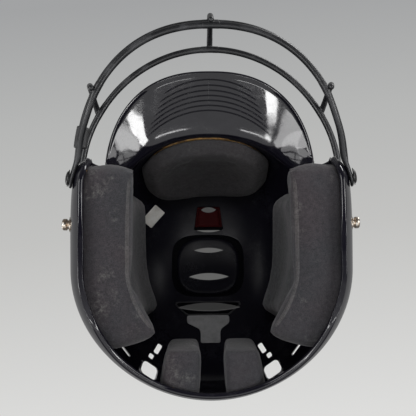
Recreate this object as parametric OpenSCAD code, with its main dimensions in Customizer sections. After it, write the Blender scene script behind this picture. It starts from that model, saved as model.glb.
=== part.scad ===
// Softball batting helmet with a wire face guard.
// Millimetres, +Z up, the face looks towards -Y. The helmet stands on its ear
// flaps, and the origin is the middle of the whole object at that level.

/* [Shell] */
// Height from the flap bottoms to the crown
shell_h = 215; // [200:1:230]
// Height at which the dome starts to close in
equator_z = 120; // [112:1:128]
// Half the width at the temples
temple_half_w = 101; // [94:1:108]
// Half the width where the ear flaps swell out most
flap_half_w = 114; // [110:0.5:118]
// Height at which the ear flaps swell out most
flap_wide_z = 50; // [42:1:58]
// Half the width at the flaps' bottom edge
rim_half_w = 101; // [97:1:105]
// Reach of the forehead in front of the head's axis
front_reach = 117; // [110:1:124]
// Reach of the back of the head behind the axis
back_reach = 115; // [108:1:122]
// Reach of the nape behind the axis, at the level of the flap bottoms
nape_reach = 92; // [85:1:99]
// Height of the nape's edge at the back
nape_z = 16; // [10:1:24]
// Height of the brow's edge at the front
brow_z = 125; // [120:1:130]
// Thickness of the moulded wall
wall = 3.6; // [3:0.1:4.5]
// Radius of the bead that stiffens the free edge
bead_r = 2.4; // [2.3:0.1:3]

/* [Bill] */
// Half the width of the bill's outline at its sides
bill_half_w = 93.5; // [88:0.5:99]
// Reach of the bill's tip in front of the head's axis
bill_reach = 172; // [162:1:182]
// Height of the bill's tip at the middle
bill_tip_z = 115; // [110:1:119]
// Height of the bill's edge at its sides
bill_side_z = 99; // [95:1:103]
// Radius of the sweep from forehead to bill
bill_fillet = 9; // [6:0.5:12]

/* [Openings in the shell] */
// Radius of each ear hole
ear_hole_r = 19; // [14:1:21]
// Height of the ear holes' centre
ear_hole_z = 74; // [70:1:80]
// Width of the rear slot of the crown, the widest
crown_slot_w = 62; // [50:1:66]
// Height of the large vent in the back
rear_vent_h = 46; // [36:1:47]

/* [Pads] */
// Thickness of the jaw pads
jaw_pad_t = 38; // [30:1:42]
// Length of the jaw pads along the flap
jaw_pad_w = 151; // [130:1:154]
// Thickness of the upper side pads, half way along
side_pad_t = 22.5; // [16:0.5:25]
// Length of the upper side pads
side_pad_w = 128; // [96:1:132]
// Thickness of the forehead pad
forehead_pad_t = 16; // [12:1:20]
// Width of the forehead pad
forehead_pad_w = 140; // [108:1:146]
// Reach of the rear pads' flat inner face behind the head's axis
rear_pad_reach = 63.5; // [58:0.5:72]
// Width of each rear pad
rear_pad_w = 34; // [24:1:36]
// Thickness of the glue under every pad
glue_t = 0.9; // [0.6:0.1:1.2]

/* [Face guard] */
// Diameter of the bars that cross the face
bar_d = 5.3; // [4.8:0.1:6]
// Diameter of the upright wires
upright_d = 4.6; // [4:0.1:5.2]
// Reach of the middle bar in front of the head's axis
guard_reach = 197; // [190:1:205]
// Reach of the chin bar
chin_reach = 188.5; // [182:0.5:194]
// Reach of the upper bar
upper_reach = 182.5; // [178:0.5:188]
// Height of the chin bar
chin_z = 6; // [5:0.5:9]
// Height of the middle bar
middle_z = 36; // [32:1:40]
// Height of the upper bar
upper_z = 70; // [62:1:76]

/* [Fasteners] */
// Radius of a guard screw's shank
screw_r = 2.1; // [1.9:0.1:2.3]
// Radius of a guard screw's head
screw_head_r = 5.6; // [5:0.1:6.4]
// Height of the lower guard screws
lower_screw_z = 28; // [25:1:32]
// Radius of the snap studs' head
stud_r = 4.75; // [4.3:0.05:5.2]
// Height of the snap studs
stud_z = 50; // [46:1:56]

/* [Hidden] */

// Clearance between small faces that lie against each other, between thin sheets that
// follow the shell, and under a flat nut on the curved wall
fit = 0.3;
sheet_fit = 0.7;
nut_fit = 1;
// Depth to which the uprights are sunk into the bars by their welds
weld = 0.6;
// The whole helmet is moved back by half of what the guard reaches further than the head
shift_y = (guard_reach + upright_d + bar_d / 2 - weld - back_reach) / 2;

// Squareness of the plan: 2 is an ellipse, more is a rounder rectangle
dome_square = 2.2;
flap_square = 3.8;
nape_square = 1.95;
// Roundness of the dome in side view, and the reach that the flaps' plan aims at
dome_round = 2.15;
flap_reach = 140;
// Height at which the back of the head reaches furthest
occiput_z = 105;

function mix(a, b, t) = a + (b - a) * t;
function ease(t) = let (u = min(1, max(0, t))) u * u * (3 - 2 * u);
function unit(v) = v / norm(v);

// Outer surface of the shell, from an angle round the head (0 at the face, 180 at the
// back) and an angle down from the crown (90 at the equator)
rise = shell_h - equator_z;
drop = rise * PI / 180;
function z_of(down) = down <= 90 ? equator_z + rise * cos(down) : equator_z - (down - 90) * drop;
function down_of(z) = z >= equator_z ? acos((z - equator_z) / rise) : 90 + (equator_z - z) / drop;
function close_in(z) = z <= equator_z ? 1
    : pow(max(0, 1 - pow((z - equator_z) / rise, dome_round)), 1 / dome_round);
function flare(z) = ease((z - flap_wide_z) / (equator_z - flap_wide_z));
function half_w(z) = z >= flap_wide_z ? mix(flap_half_w, temple_half_w, flare(z))
    : flap_half_w - (flap_half_w - rim_half_w) * pow(1 - z / flap_wide_z, 2);
function reach(z, is_front) = is_front ? mix(flap_reach, front_reach, flare(z))
    : back_reach - (back_reach - nape_reach) * pow(max(0, 1 - z / occiput_z), 2);
function oval(angle, half_width, length, square) =
    1 / pow(pow(abs(sin(angle)) / half_width, square) + pow(abs(cos(angle)) / length, square), 1 / square);
// The front edge of each flap curls in towards the face
flap_edge_round = 48.5;
curl_in = 8;
curl_span = 8;
function curl(round, z) = curl_in * (1 - flare(z))
    * pow(max(0, 1 - max(0, abs(round) - flap_edge_round) / curl_span), 2);
function plan_r(round, z) = let (is_front = cos(round) > 0)
    close_in(z) * oval(round, half_w(z), reach(z, is_front),
        mix(is_front ? flap_square : nape_square, dome_square, flare(z))) - curl(round, z);
function skin(round, down) = let (z = z_of(down), r = plan_r(round, z))
    [r * sin(round), -r * cos(round), z];
function skin_normal(round, down) = down < 1 ? [0, 0, 1]
    : unit(cross(skin(round, down + 0.5) - skin(round, down - 0.5),
                 skin(round + 0.5, down) - skin(round - 0.5, down)));
// A point of the skin moved out along its normal, or in where out is negative
function off_skin(round, down, out) = skin(round, down) + skin_normal(round, down) * out;
// The same, moved level, so that a stack of such points has flat ends
function level_normal(round, down) = let (n = skin_normal(round, down)) unit([n.x, n.y, 0]);

// The same surface on the dome, from a place seen from above
function dome_down(x, y) = let (k = norm([x, y]) / oval(atan2(x, -y), temple_half_w,
        y < 0 ? front_reach : back_reach, dome_square))
    acos(pow(max(0, 1 - pow(k, dome_round)), 1 / dome_round));
function off_dome(x, y, out) = off_skin(atan2(x, -y), dome_down(x, y), out);

// A smooth curve through chosen points
function curve_at(points, i, t) = let (
        n = len(points) - 1,
        a = points[max(0, i - 1)], b = points[i], c = points[min(n, i + 1)], d = points[min(n, i + 2)]
    ) 0.5 * (2 * b + (c - a) * t + (2 * a - 5 * b + 4 * c - d) * t * t
        + (3 * b - a - 3 * c + d) * t * t * t);
function curve(points, steps) = concat(
    [for (i = [0:len(points) - 2], s = [0:steps - 1]) curve_at(points, i, s / steps)],
    [points[len(points) - 1]]);

// A closed body skinned over rings of points. Each cell is split along its shorter
// diagonal, and the body is capped by a point at each end.
function cell(points, a, b, c, d) = norm(points[a] - points[d]) <= norm(points[b] - points[c])
    ? [[a, b, d], [a, d, c]] : [[a, b, c], [b, d, c]];
function ring_faces(points, rings, sides) = [for (j = [0:rings - 2], i = [0:sides - 1])
    let (a = j * sides + i, b = j * sides + (i + 1) % sides) each cell(points, a, b, a + sides, b + sides)];
function cap_faces(rings, sides) = concat(
    [for (i = [0:sides - 1]) [rings * sides, (i + 1) % sides, i]],
    [for (i = [0:sides - 1]) let (last = (rings - 1) * sides)
        [rings * sides + 1, last + i, last + (i + 1) % sides]]);
module rings_body(rings, first_tip, last_tip) {
    sides = len(rings[0]);
    points = concat([for (ring = rings) each ring], [first_tip, last_tip]);
    polyhedron(points = points, convexity = 6,
        faces = concat(ring_faces(points, len(rings), sides), cap_faces(len(rings), sides)));
}

// The bottom of the flaps is cut flat by this depth, so that the helmet stands on it
rest_depth = 1.1;
// The free edge of the shell's right half, from the middle of the brow over the front
// edge of the flap, its bottom and the rise behind the ear to the middle of the nape
rim_points = [
    [0, brow_z], [16, brow_z - 1.5], [31, brow_z - 7], [42, brow_z - 21],
    [flap_edge_round - 1, 82], [flap_edge_round, 52], [flap_edge_round - 0.5, 24], [53, 5],
    [70, -rest_depth], [90, -rest_depth], [112, -rest_depth],
    [135, nape_z / 2], [158, nape_z - 1], [180, nape_z]
];
rim_steps = 3;
rim = curve(rim_points, rim_steps);
half_cols = len(rim) - 1;
outer_rows = 15;
inner_rows = 15;
edge_rows = 10;
// The bill grows out of this many columns on each side of the middle
bill_cols = 11;
bill_root_y = 60;
bill_square = 2.4;
bill_turn = 76;
bill_root_t = 4;
bill_tip_t = 3.2;

function bill_share(i) = 1 - ease((i / bill_cols - 0.88) / 0.16);
function rim_down(i) = down_of(rim[i][1]);
function rim_round(i) = rim[i][0];
// Where the wall ends and the edge's own profile starts
function wall_end(i) = rim_down(i) - mix(bead_r, bill_fillet, bill_share(i)) / drop;
function column_round(i, t) = mix(180 * i / half_cols, rim_round(i), ease(t));
function wall_point(i, t, out) = off_skin(column_round(i, t), wall_end(i) * t, out);

function edge_out(i) = let (
        before = skin(rim_round(max(0, i - 1)), rim_down(max(0, i - 1))),
        after = skin(rim_round(min(half_cols, i + 1)), rim_down(min(half_cols, i + 1)))
    ) unit(cross(after - before, skin_normal(rim_round(i), rim_down(i))));
function bead_point(i, k) = let (turn = 180 * k / edge_rows, n = skin_normal(rim_round(i), rim_down(i)))
    off_skin(rim_round(i), rim_down(i), -wall / 2) - edge_out(i) * bead_r
        + (n * cos(turn) + edge_out(i) * sin(turn)) * bead_r;

function bill_tip(i) = let (
        angle = bill_turn * i / bill_cols,
        r = oval(angle, bill_half_w, bill_reach - bill_root_y, bill_square),
        x = r * sin(angle)
    ) [x, -bill_root_y - r * cos(angle), mix(bill_tip_z, bill_side_z, pow(x / bill_half_w, 2))];
// Distance from the bill's root to its tip, and half its thickness, for each edge row
bill_run = [0, 0.1, 0.3, 0.65, 0.97, 1, 0.97, 0.65, 0.3, 0.1, 0];
bill_side = [1, 1, 1, 1, 0.9, 0, -0.9, -1, -1, -1, -1];
function bill_point(i, k) = let (
        root = off_skin(rim_round(i), rim_down(i), -wall / 2),
        tip = bill_tip(i),
        length = norm(tip - root),
        run = bill_run[k],
        sweep = pow(max(0, 1 - run * length / bill_fillet), 2) * bill_fillet * 0.8,
        half_t = mix(bill_root_t, bill_tip_t, run) / 2,
        wall_n = level_normal(rim_round(i), rim_down(i)),
        flat = mix(root, tip, run)
    ) run == 0 ? off_skin(rim_round(i), wall_end(i) + 0.25 * bill_fillet / drop, k == 0 ? 0 : -wall)
        : flat + [0, 0, half_t * bill_side[k] + sweep * 0.5] + wall_n * (bill_side[k] * (1 - run) * 0.3);
function edge_point(i, k) = let (share = i <= bill_cols ? bill_share(i) : 0)
    share <= 0 ? bead_point(i, k)
    : share >= 1 ? bill_point(i, k) : mix(bead_point(i, k), bill_point(i, k), share);

function half_ring(row) = [for (i = [0:half_cols])
    row < outer_rows ? wall_point(i, (row + 1) / outer_rows, 0)
    : row <= outer_rows + edge_rows ? edge_point(i, row - outer_rows)
    : wall_point(i, (outer_rows + edge_rows + 1 + inner_rows - row) / inner_rows, -wall)];
function full_ring(row) = let (half = half_ring(row)) concat(
    [for (i = [0:half_cols]) i == 0 || i == half_cols ? [0, half[i].y, half[i].z] : half[i]],
    [for (i = [half_cols - 1:-1:1]) [-half[i].x, half[i].y, half[i].z]]);

module shell_wall() {
    rows = outer_rows + edge_rows + 1 + inner_rows;
    rings_body([for (row = [0:rows - 1]) full_ring(row)], [0, 0, shell_h], [0, 0, shell_h - wall]);
}

// Puts its children on the shell: their origin on the outer face, +Z along the outward
// normal and +Y towards the crown
module on_shell(round, down) {
    n = skin_normal(round, down);
    side = unit(cross([0, 0, 1], n));
    up = cross(n, side);
    at = skin(round, down);
    multmatrix([
        [side.x, up.x, n.x, at.x],
        [side.y, up.y, n.y, at.y],
        [side.z, up.z, n.z, at.z],
        [0, 0, 0, 1]])
        children();
}
module both_sides() {
    children();
    mirror([1, 0, 0]) children();
}

// Where the fasteners go through the shell
screw_round = 56.3;
stud_round = 72.4;
ear_round = 92;
nut_barrel_r = screw_r + 1.1;
stud_post_r = 2.2;
module at_guard_screws() {
    both_sides() for (z = [lower_screw_z, upper_z]) on_shell(screw_round, down_of(z)) children();
}
module at_snaps() both_sides() on_shell(stud_round, down_of(stud_z)) children();

// The crown's five slots: place along the middle, width and length, front to back
crown_slots = [
    [-47, 0.235, 5], [-26.6, 0.385, 4.3], [-5.8, 0.47, 4.8], [21, 0.64, 6.7], [51, 1, 7.5]
];
module lens(width, length) {
    r = (width * width + length * length) / (4 * length);
    intersection() {
        translate([0, r - length / 2]) circle(r = r, $fn = 96);
        translate([0, length / 2 - r]) circle(r = r, $fn = 96);
    }
}
module crown_slot(slot) {
    translate([0, slot[0], shell_h - 40]) linear_extrude(60) lens(slot[1] * crown_slot_w, slot[2]);
}
// The vents in the back: angle round the head, height, width and height of the hole. They
// go through the wall steeply, at this angle above the level, as the mould draws them.
vent_steepness = 75;
vent_cut_l = 80;
rear_vents = [
    [150, 125, 16, rear_vent_h], [148.3, 155, 5, 8], [149.8, 168.5, 5, 14], [134.6, 116, 15, 7.5]
];
module rounded_slot(width, height, corner) {
    square([width - 2 * corner, height], center = true);
    square([width, height - 2 * corner], center = true);
    for (x = [-1, 1], y = [-1, 1])
        translate([x * (width / 2 - corner), y * (height / 2 - corner)]) circle(r = corner, $fn = 24);
}
module rear_vent(vent) {
    tilt = vent_steepness - asin(skin_normal(vent[0], down_of(vent[1])).z);
    height = vent[3] * cos(tilt);
    on_shell(vent[0], down_of(vent[1])) rotate([-tilt, 0, 0]) linear_extrude(vent_cut_l, center = true)
        rounded_slot(vent[2], height, 0.3 * min(vent[2], height));
}

module shell() {
    color("#141416") difference() {
        shell_wall();
        for (slot = crown_slots) crown_slot(slot);
        both_sides() for (vent = rear_vents) rear_vent(vent);
        both_sides() on_shell(ear_round, down_of(ear_hole_z)) cylinder(r = ear_hole_r, h = 40, center = true);
        at_guard_screws() cylinder(r = nut_barrel_r + 0.2, h = 30, center = true, $fn = 32);
        at_snaps() cylinder(r = stud_post_r + 0.2, h = 30, center = true, $fn = 32);
        translate([-shell_h, -shell_h, -shell_h]) cube([2 * shell_h, 2 * shell_h, shell_h]);
    }
}

// A pad: a crowned block of foam that follows the shell's inside. It is given by its
// middle's angle round the head, its lower and upper height, its length along the wall
// and its thickness. It grows inwards along the wall's normal, and thicker towards its
// back by its lean. A pad with an aim, the way out of the head that it faces, grows level
// and is pulled towards that. Its top is thinner by a share, its front end laps over the
// flap's edge by a share of its length, and it may end at a flat face across the head.
pad_sides = 36;
pad_gap = wall + sheet_fit + glue_t + sheet_fit;
pad_shape = [
    // share of the outline, share of the thickness
    [0.2, 0], [0.4, 0], [0.6, 0], [0.8, 0], [0.99, 0],
    [0.985, 0.35], [1, 0.75], [0.965, 0.93], [0.88, 1], [0.5, 1.03]
];
function outline_at(i, square, sides) = let (a = 360 * (i + 0.5) / sides, r = oval(a, 1, 1, square))
    [r * cos(a), r * sin(a)];
function pad_place(round, z_low, z_high, length, a, b, bow = 0, sink = 0) = let (
        high = down_of(z_high) - bow * (1 - a * a) + sink * pow(min(0, a), 2),
        z = z_of(mix(down_of(z_low), high, (b + 1) / 2))
    ) [round + a * length / 2 / plan_r(round, z) * 180 / PI, down_of(z)];
function pad_point(place, depth, thick, aim, face) = let (
        start = off_skin(place[0], place[1], -pad_gap),
        way = is_undef(aim) ? skin_normal(place[0], place[1]) : unit(level_normal(place[0], place[1]) + aim),
        full = is_undef(face) ? thick : (start.y - face) / way.y
    ) start - way * full * depth;
module pad(round, z_low, z_high, length, thick, aim = undef, square = 7, bow = 0, sink = 0, lean = 0,
        top_thin = 0, lap = 0, face = undef) {
    rings = [for (shape = pad_shape) [for (i = [0:pad_sides - 1]) let (
            q = outline_at(i, square, pad_sides) * shape[0],
            a = q[0] < 0 ? q[0] * (1 + lap * ease(shape[1] / 0.35)) : q[0],
            place = pad_place(round, z_low, z_high, length, a, q[1], bow, sink),
            here = thick * (1 + lean * q[0]) * (1 - top_thin * ease(q[1]))
        ) pad_point(place, shape[1], here, aim, face)]];
    middle = pad_place(round, z_low, z_high, length, 0, 0, bow, sink);
    rings_body(rings, pad_point(middle, 0, thick, aim, face), pad_point(middle, 1.04, thick, aim, face));
}
// The glue under a pad: a thin sheet a little smaller than the pad
sheet_sides = 20;
sheet_depth = wall + sheet_fit;
sheet_rings = [[0.25, 0], [0.5, 0], [0.75, 0], [1, 0], [1, 1], [0.75, 1], [0.5, 1], [0.25, 1]];
module glue(round, z_low, z_high, length, bow = 0) {
    rings = [for (s = sheet_rings) [for (i = [0:sheet_sides - 1]) let (
            q = outline_at(i, 7, sheet_sides) * s[0],
            place = pad_place(round, z_low, z_high, length, q[0], q[1], bow)
        ) off_skin(place[0], place[1], -sheet_depth - s[1] * glue_t)]];
    middle = pad_place(round, z_low, z_high, length, 0, 0, bow);
    rings_body(rings, off_skin(middle[0], middle[1], -sheet_depth),
        off_skin(middle[0], middle[1], -sheet_depth - glue_t));
}

jaw_round = 88.8;
jaw_z = [7, 86];
jaw_aim = [4, 0.6, 0];
jaw_top_thin = 0.14;
jaw_lap = 0.025;
side_round = 89;
side_z = [97, 182];
side_lean = 0.25;
// The side pads' upper edge sinks by this angle towards their front end
side_sink = 9;
rear_round = 164.6;
rear_z = [20, 88];
forehead_z = [130, 184];
// The forehead pad sits a little left of the middle, and its upper edge is bowed by
// this angle towards the crown
forehead_round = -2.4;
forehead_bow = 15;
// The ear's room, cut through the jaw pad's upper and the side pad's lower edge
ear_room_r = 25;
ear_room_z = ear_hole_z + 8;
ear_room_depth = 65;
module ear_room() {
    on_shell(ear_round, down_of(ear_room_z))
        cylinder(r = ear_room_r, h = 2 * ear_room_depth, center = true, $fn = 48);
}
// Pockets in the jaw pads over the nuts
nut_flange_r = 5.5;
nut_flange_t = 1.2;
nut_pocket_depth = 4.2;
nut_pocket_gap = 1;
module nut_pocket() {
    translate([0, 0, -wall - nut_pocket_depth])
        cylinder(r = nut_flange_r + nut_pocket_gap, h = nut_pocket_depth, $fn = 32);
}
module nut_pockets() {
    for (z = [lower_screw_z, upper_z]) on_shell(screw_round, down_of(z)) nut_pocket();
    on_shell(stud_round, down_of(stud_z)) nut_pocket();
}
module jaw_pad() {
    color("#2f3033") difference() {
        pad(jaw_round, jaw_z[0], jaw_z[1], jaw_pad_w, jaw_pad_t, aim = jaw_aim, top_thin = jaw_top_thin,
            lap = jaw_lap);
        ear_room();
        nut_pockets();
    }
}
module side_pad() {
    color("#2b2c2f") difference() {
        pad(side_round, side_z[0], side_z[1], side_pad_w, side_pad_t, sink = side_sink, lean = side_lean);
        ear_room();
    }
}
module rear_pad() {
    color("#313236")
        pad(rear_round, rear_z[0], rear_z[1], rear_pad_w, 0, aim = [0, 1, 0], face = rear_pad_reach);
}
module forehead_pad() {
    color("#2c2d30") pad(forehead_round, forehead_z[0], forehead_z[1], forehead_pad_w, forehead_pad_t,
        square = 4, bow = forehead_bow);
}

// The glue lies under part of each pad: below the ear under the jaw pads, above it
// under the side pads
glue_colour = "#a8823c";
module forehead_glue() {
    color(glue_colour)
        glue(forehead_round, forehead_z[0] + 1.5, forehead_z[1] - 4, forehead_pad_w - 14, forehead_bow);
}
module jaw_glue() {
    color(glue_colour) both_sides()
        glue(jaw_round + 3, jaw_z[0] + 2, stud_z - nut_flange_r - 4, jaw_pad_w - 34);
}
module side_glue() {
    color(glue_colour) both_sides()
        glue(side_round, ear_room_z + ear_room_r + 3, side_z[1] - side_sink * drop, side_pad_w - 10);
}
module rear_glue() {
    color(glue_colour) both_sides() glue(rear_round, rear_z[0] + 1, rear_z[1] - 3, rear_pad_w - 4);
}

// A wire along a path, with flat ends. Each point of the path holds its place and how
// thick the wire is there, in and out of the head, as a share of its diameter.
wire_sides = 10;
guard_root_y = 72;
function place_of(point) = [point.x, point.y, point.z];
function tangent(path, i) = unit(place_of(path[min(len(path) - 1, i + 1)] - path[max(0, i - 1)]));
function wire_ring(path, i, r_up, r_in, shift_in = 0) = let (
        t = tangent(path, i),
        up = unit(cross([path[i].x, path[i].y + guard_root_y, 0], t)),
        inwards = cross(up, t)
    ) [for (k = [0:wire_sides - 1]) let (a = 360 * k / wire_sides)
        place_of(path[i]) + up * r_up * cos(a) + inwards * (path[i][3] * r_in * sin(a) + shift_in)];
module wire(path, d) {
    rings_body([for (i = [0:len(path) - 1]) wire_ring(path, i, d / 2, d / 2)],
        place_of(path[0]), place_of(path[len(path) - 1]));
}
function mirrored(path) = concat(
    [for (i = [len(path) - 1:-1:1]) [-path[i].x, path[i].y, path[i].z, path[i][3]]], path);

// Each bar is an arch in front of the face. It is given by half its width, its reach,
// the squareness of its arch and its height. Its ends lie on the flaps, where the wire is
// pressed flat.
pressed_t = 3;
chin_bar = [flap_half_w - 12.5, chin_reach, 2.27, chin_z];
middle_bar = [flap_half_w - 7, guard_reach, 2.25, middle_z];
upper_bar = [flap_half_w - 6, upper_reach, 1.99, upper_z];
bar_off = pressed_t / 2 + fit;
// The wire turns round a screw with this radius
turn_r = bar_d / 2 + screw_r + fit;
function arch_xy(bar, angle, out) = let (
        r = oval(angle, bar[0] + out, bar[1] - guard_root_y + out, bar[2])
    ) [r * sin(angle), -guard_root_y - r * cos(angle)];
function arch_point(bar, angle, z, out = 0) = let (p = arch_xy(bar, angle, out)) [p.x, p.y, z, 1];
function turn_point(z, angle, forward = 0) = let (
        r = plan_r(screw_round, z),
        round = screw_round + (turn_r * cos(angle) - forward) / r * 180 / PI,
        p = off_skin(round, down_of(z + turn_r * sin(angle)), bar_off)
    ) [p.x, p.y, p.z, pressed_t / bar_d];
turn_angles = [-90:22.5:90];
// The chin bar's ends flare out by this much. Each wire runs straight over the flap for
// this far before and after its turn.
chin_flare = 3.2;
chin_lead = [8, 7];
middle_lead = 7;
upper_lead = [8, 9];
function chin_height(angle) = mix(chin_z, lower_screw_z - turn_r, ease((angle - 52) / 38));
chin_side = concat(
    [for (a = [0:9:81]) arch_point(chin_bar, a, chin_height(a), chin_flare * ease((a - 60) / 21))],
    [turn_point(lower_screw_z, -90, chin_lead[0])],
    [for (a = turn_angles) turn_point(lower_screw_z, a)],
    [turn_point(lower_screw_z, 90, chin_lead[1])]);
middle_side = concat(
    [for (a = [0:9:81]) arch_point(middle_bar, a, middle_z)],
    [turn_point(lower_screw_z, 90, middle_lead)]);
upper_side = concat(
    [for (a = [0:9:81]) arch_point(upper_bar, a, mix(upper_z, upper_z - turn_r, ease((a - 50) / 36)))],
    [turn_point(upper_z, -90, upper_lead[0])],
    [for (a = turn_angles) turn_point(upper_z, a)],
    [turn_point(upper_z, 90, upper_lead[1])]);
guard_colour = "#1a1a1b";
module guard_bar(side) color(guard_colour) wire(mirrored(curve(side, 2)), bar_d);

// The uprights are welded across the fronts of the bars
upright_off = (bar_d + upright_d) / 2 - weld;
foot_z = 1;
head_over = 6;
function upright_path(chin_angle, middle_angle, upper_angle) = let (
        chin = arch_point(chin_bar, chin_angle, chin_z, upright_off),
        middle = arch_point(middle_bar, middle_angle, middle_z, upright_off),
        upper = arch_point(upper_bar, upper_angle, upper_z, upright_off)
    ) [
        chin + (chin - middle) * ((chin_z - foot_z) / (middle_z - chin_z)),
        chin, middle, upper,
        upper + (upper - middle) * (head_over / (upper_z - middle_z))
    ];
module upright(path) color(guard_colour) wire(curve(path, 4), upright_d);
// Angles of the side uprights on the chin, the middle and the upper bar
side_upright = [53, 52.5, 57.5];

// The plain sleeve on the left of the middle bar: a flattened tube, wider inwards
sleeve_angles = [67.5, 72, 76.5];
sleeve_t = 1.2;
sleeve_fin = 2.5;
module guard_sleeve() {
    path = [for (a = sleeve_angles) arch_point(middle_bar, a, middle_z)];
    bore_r = bar_d / 2 + fit;
    outer_r = bore_r + sleeve_t;
    inner = [for (i = [0:len(path) - 1]) wire_ring(path, i, bore_r, bore_r)];
    outer = [for (i = [0:len(path) - 1])
        wire_ring(path, i, outer_r, outer_r + sleeve_fin / 2, sleeve_fin / 2)];
    rings = concat(outer, [for (i = [len(path) - 1:-1:0]) inner[i]], [outer[0]]);
    points = [for (ring = rings) each ring];
    count = 2 * len(path) * wire_sides;
    color("#202022") mirror([1, 0, 0]) polyhedron(points = points, convexity = 4,
        faces = [for (face = ring_faces(points, len(rings), wire_sides)) [for (v = face) v % count]]);
}

// The guard's screws: a washer over the wire's turn, the head on it, and a nut with a
// flange inside the shell
washer_r = turn_r + bar_d / 2 - 1;
washer_t = 0.6;
wire_top = bar_off + pressed_t / 2 + fit / 2;
screw_head_t = 1.4;
thread_gap = 0.1;
nut_seat = -wall - nut_fit;
module guard_washers() {
    color("#232325") at_guard_screws() translate([0, 0, wire_top]) difference() {
        cylinder(r = washer_r, h = washer_t, $fn = 48);
        translate([0, 0, -1]) cylinder(r = screw_r + 0.2, h = washer_t + 2, $fn = 32);
    }
}
module guard_screws() {
    tip = nut_seat - nut_flange_t;
    color("#1c1c1e") at_guard_screws() {
        translate([0, 0, tip]) cylinder(r = screw_r, h = wire_top + washer_t - tip, $fn = 32);
        translate([0, 0, wire_top + washer_t]) rotate_extrude($fn = 48) difference() {
            polygon([
                [0, 0], [screw_head_r, 0], [screw_head_r, screw_head_t * 0.4],
                [screw_head_r * 0.8, screw_head_t * 0.85], [screw_head_r * 0.45, screw_head_t], [0, screw_head_t]
            ]);
            translate([-1, screw_head_t - 0.8]) square([2, 2]);
        }
    }
}
module flanged_nut(flange_r, flange_t, barrel_r, bore_r) {
    top = -0.8;
    difference() {
        union() {
            translate([0, 0, nut_seat - flange_t]) cylinder(r = flange_r, h = flange_t, $fn = 48);
            translate([0, 0, nut_seat]) cylinder(r = barrel_r, h = top - nut_seat, $fn = 32);
        }
        translate([0, 0, nut_seat - flange_t - 1]) cylinder(r = bore_r, h = wall + flange_t + 4, $fn = 32);
    }
}
module guard_tee_nuts() {
    color("#8d8f90") at_guard_screws()
        flanged_nut(nut_flange_r, nut_flange_t, nut_barrel_r, screw_r + thread_gap);
}

// The snap studs that a chin strap's snaps close over
snap_washer_r = 6.2;
snap_washer_t = 1;
stud_neck_r = 3.6;
stud_neck_h = 2;
stud_head_h = 4.2;
snap_flange_r = 5.5;
stud_seat = fit + snap_washer_t;
module snap_stud() {
    tip = nut_seat - nut_flange_t;
    head = stud_seat + stud_neck_h;
    color("#b9b6b0") on_shell(stud_round, down_of(stud_z)) rotate_extrude($fn = 64) polygon([
        [0, tip], [stud_post_r - thread_gap, tip], [stud_post_r - thread_gap, stud_seat],
        [stud_neck_r, stud_seat], [stud_neck_r, head - 0.3], [stud_r - 0.5, head],
        [stud_r, head + 0.5], [stud_r, head + stud_head_h - 1], [stud_r - 1, head + stud_head_h],
        [2.2, head + stud_head_h], [1.8, head + stud_head_h - 0.7], [0, head + stud_head_h - 0.7]
    ]);
}
module snap_washers() {
    color("#a9a6a0") at_snaps() translate([0, 0, fit]) difference() {
        cylinder(r = snap_washer_r, h = snap_washer_t, $fn = 64);
        translate([0, 0, -1]) cylinder(r = stud_post_r, h = snap_washer_t + 2, $fn = 32);
    }
}
module snap_nuts() {
    color("#8d8f90") at_snaps() translate([0, 0, nut_seat - nut_flange_t]) difference() {
        cylinder(r = snap_flange_r, h = nut_flange_t, $fn = 48);
        translate([0, 0, -1]) cylinder(r = stud_post_r, h = nut_flange_t + 2, $fn = 32);
    }
}

// A thin sheet on the inside of the dome, given by its place seen from above
module dome_sheet(x, y, width, length, turn, thick, square) {
    rings = [for (s = sheet_rings) [for (i = [0:sheet_sides - 1]) let (
            q = outline_at(i, square, sheet_sides) * s[0],
            across = q[0] * width / 2, along = q[1] * length / 2
        ) off_dome(x + across * cos(turn) - along * sin(turn), y + across * sin(turn) + along * cos(turn),
            -sheet_depth - s[1] * thick)]];
    rings_body(rings, off_dome(x, y, -sheet_depth), off_dome(x, y, -sheet_depth - thick));
}
// The insert reaches further behind its slot than in front of it
insert_w = 29;
insert_l = 22.5;
insert_t = 1.6;
insert_back = 6.7;
module crown_vent_insert() {
    slot = crown_slots[0];
    color("#5a1214") difference() {
        dome_sheet(0, slot[0] + insert_back, insert_w, insert_l, 0, insert_t, 6);
        crown_slot(slot);
    }
}
label_t = 0.5;
size_label_place = [-57, -42];
size_label_w = 12;
size_label_l = 21;
size_label_turn = 42;
module size_label() {
    color("#e9e8e4") dome_sheet(size_label_place.x, size_label_place.y, size_label_w, size_label_l,
        size_label_turn, label_t, 12);
}
// Blank, with a wide head behind the rear slot and a narrow stem between the rear pads
inner_label_y = 58;
inner_head_w = 44;
inner_head_l = 7;
inner_neck_l = 6;
inner_stem_w = 21;
inner_label_l = 25;
module inner_label() {
    head = inner_label_y + inner_head_l;
    neck = head + inner_neck_l;
    end = inner_label_y + inner_label_l;
    half = [
        [inner_head_w / 2, inner_label_y], [inner_head_w / 2, head],
        [inner_stem_w / 2, neck], [inner_stem_w / 2, end]
    ];
    color("#9a9b9c") intersection() {
        dome_sheet(0, (inner_label_y + end) / 2, 1.4 * inner_head_w, 1.4 * inner_label_l, 0, label_t, 12);
        linear_extrude(shell_h) polygon(concat(half, [for (i = [3:-1:0]) [-half[i].x, half[i].y]]));
    }
}

module placed() translate([0, shift_y, 0]) children();

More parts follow.
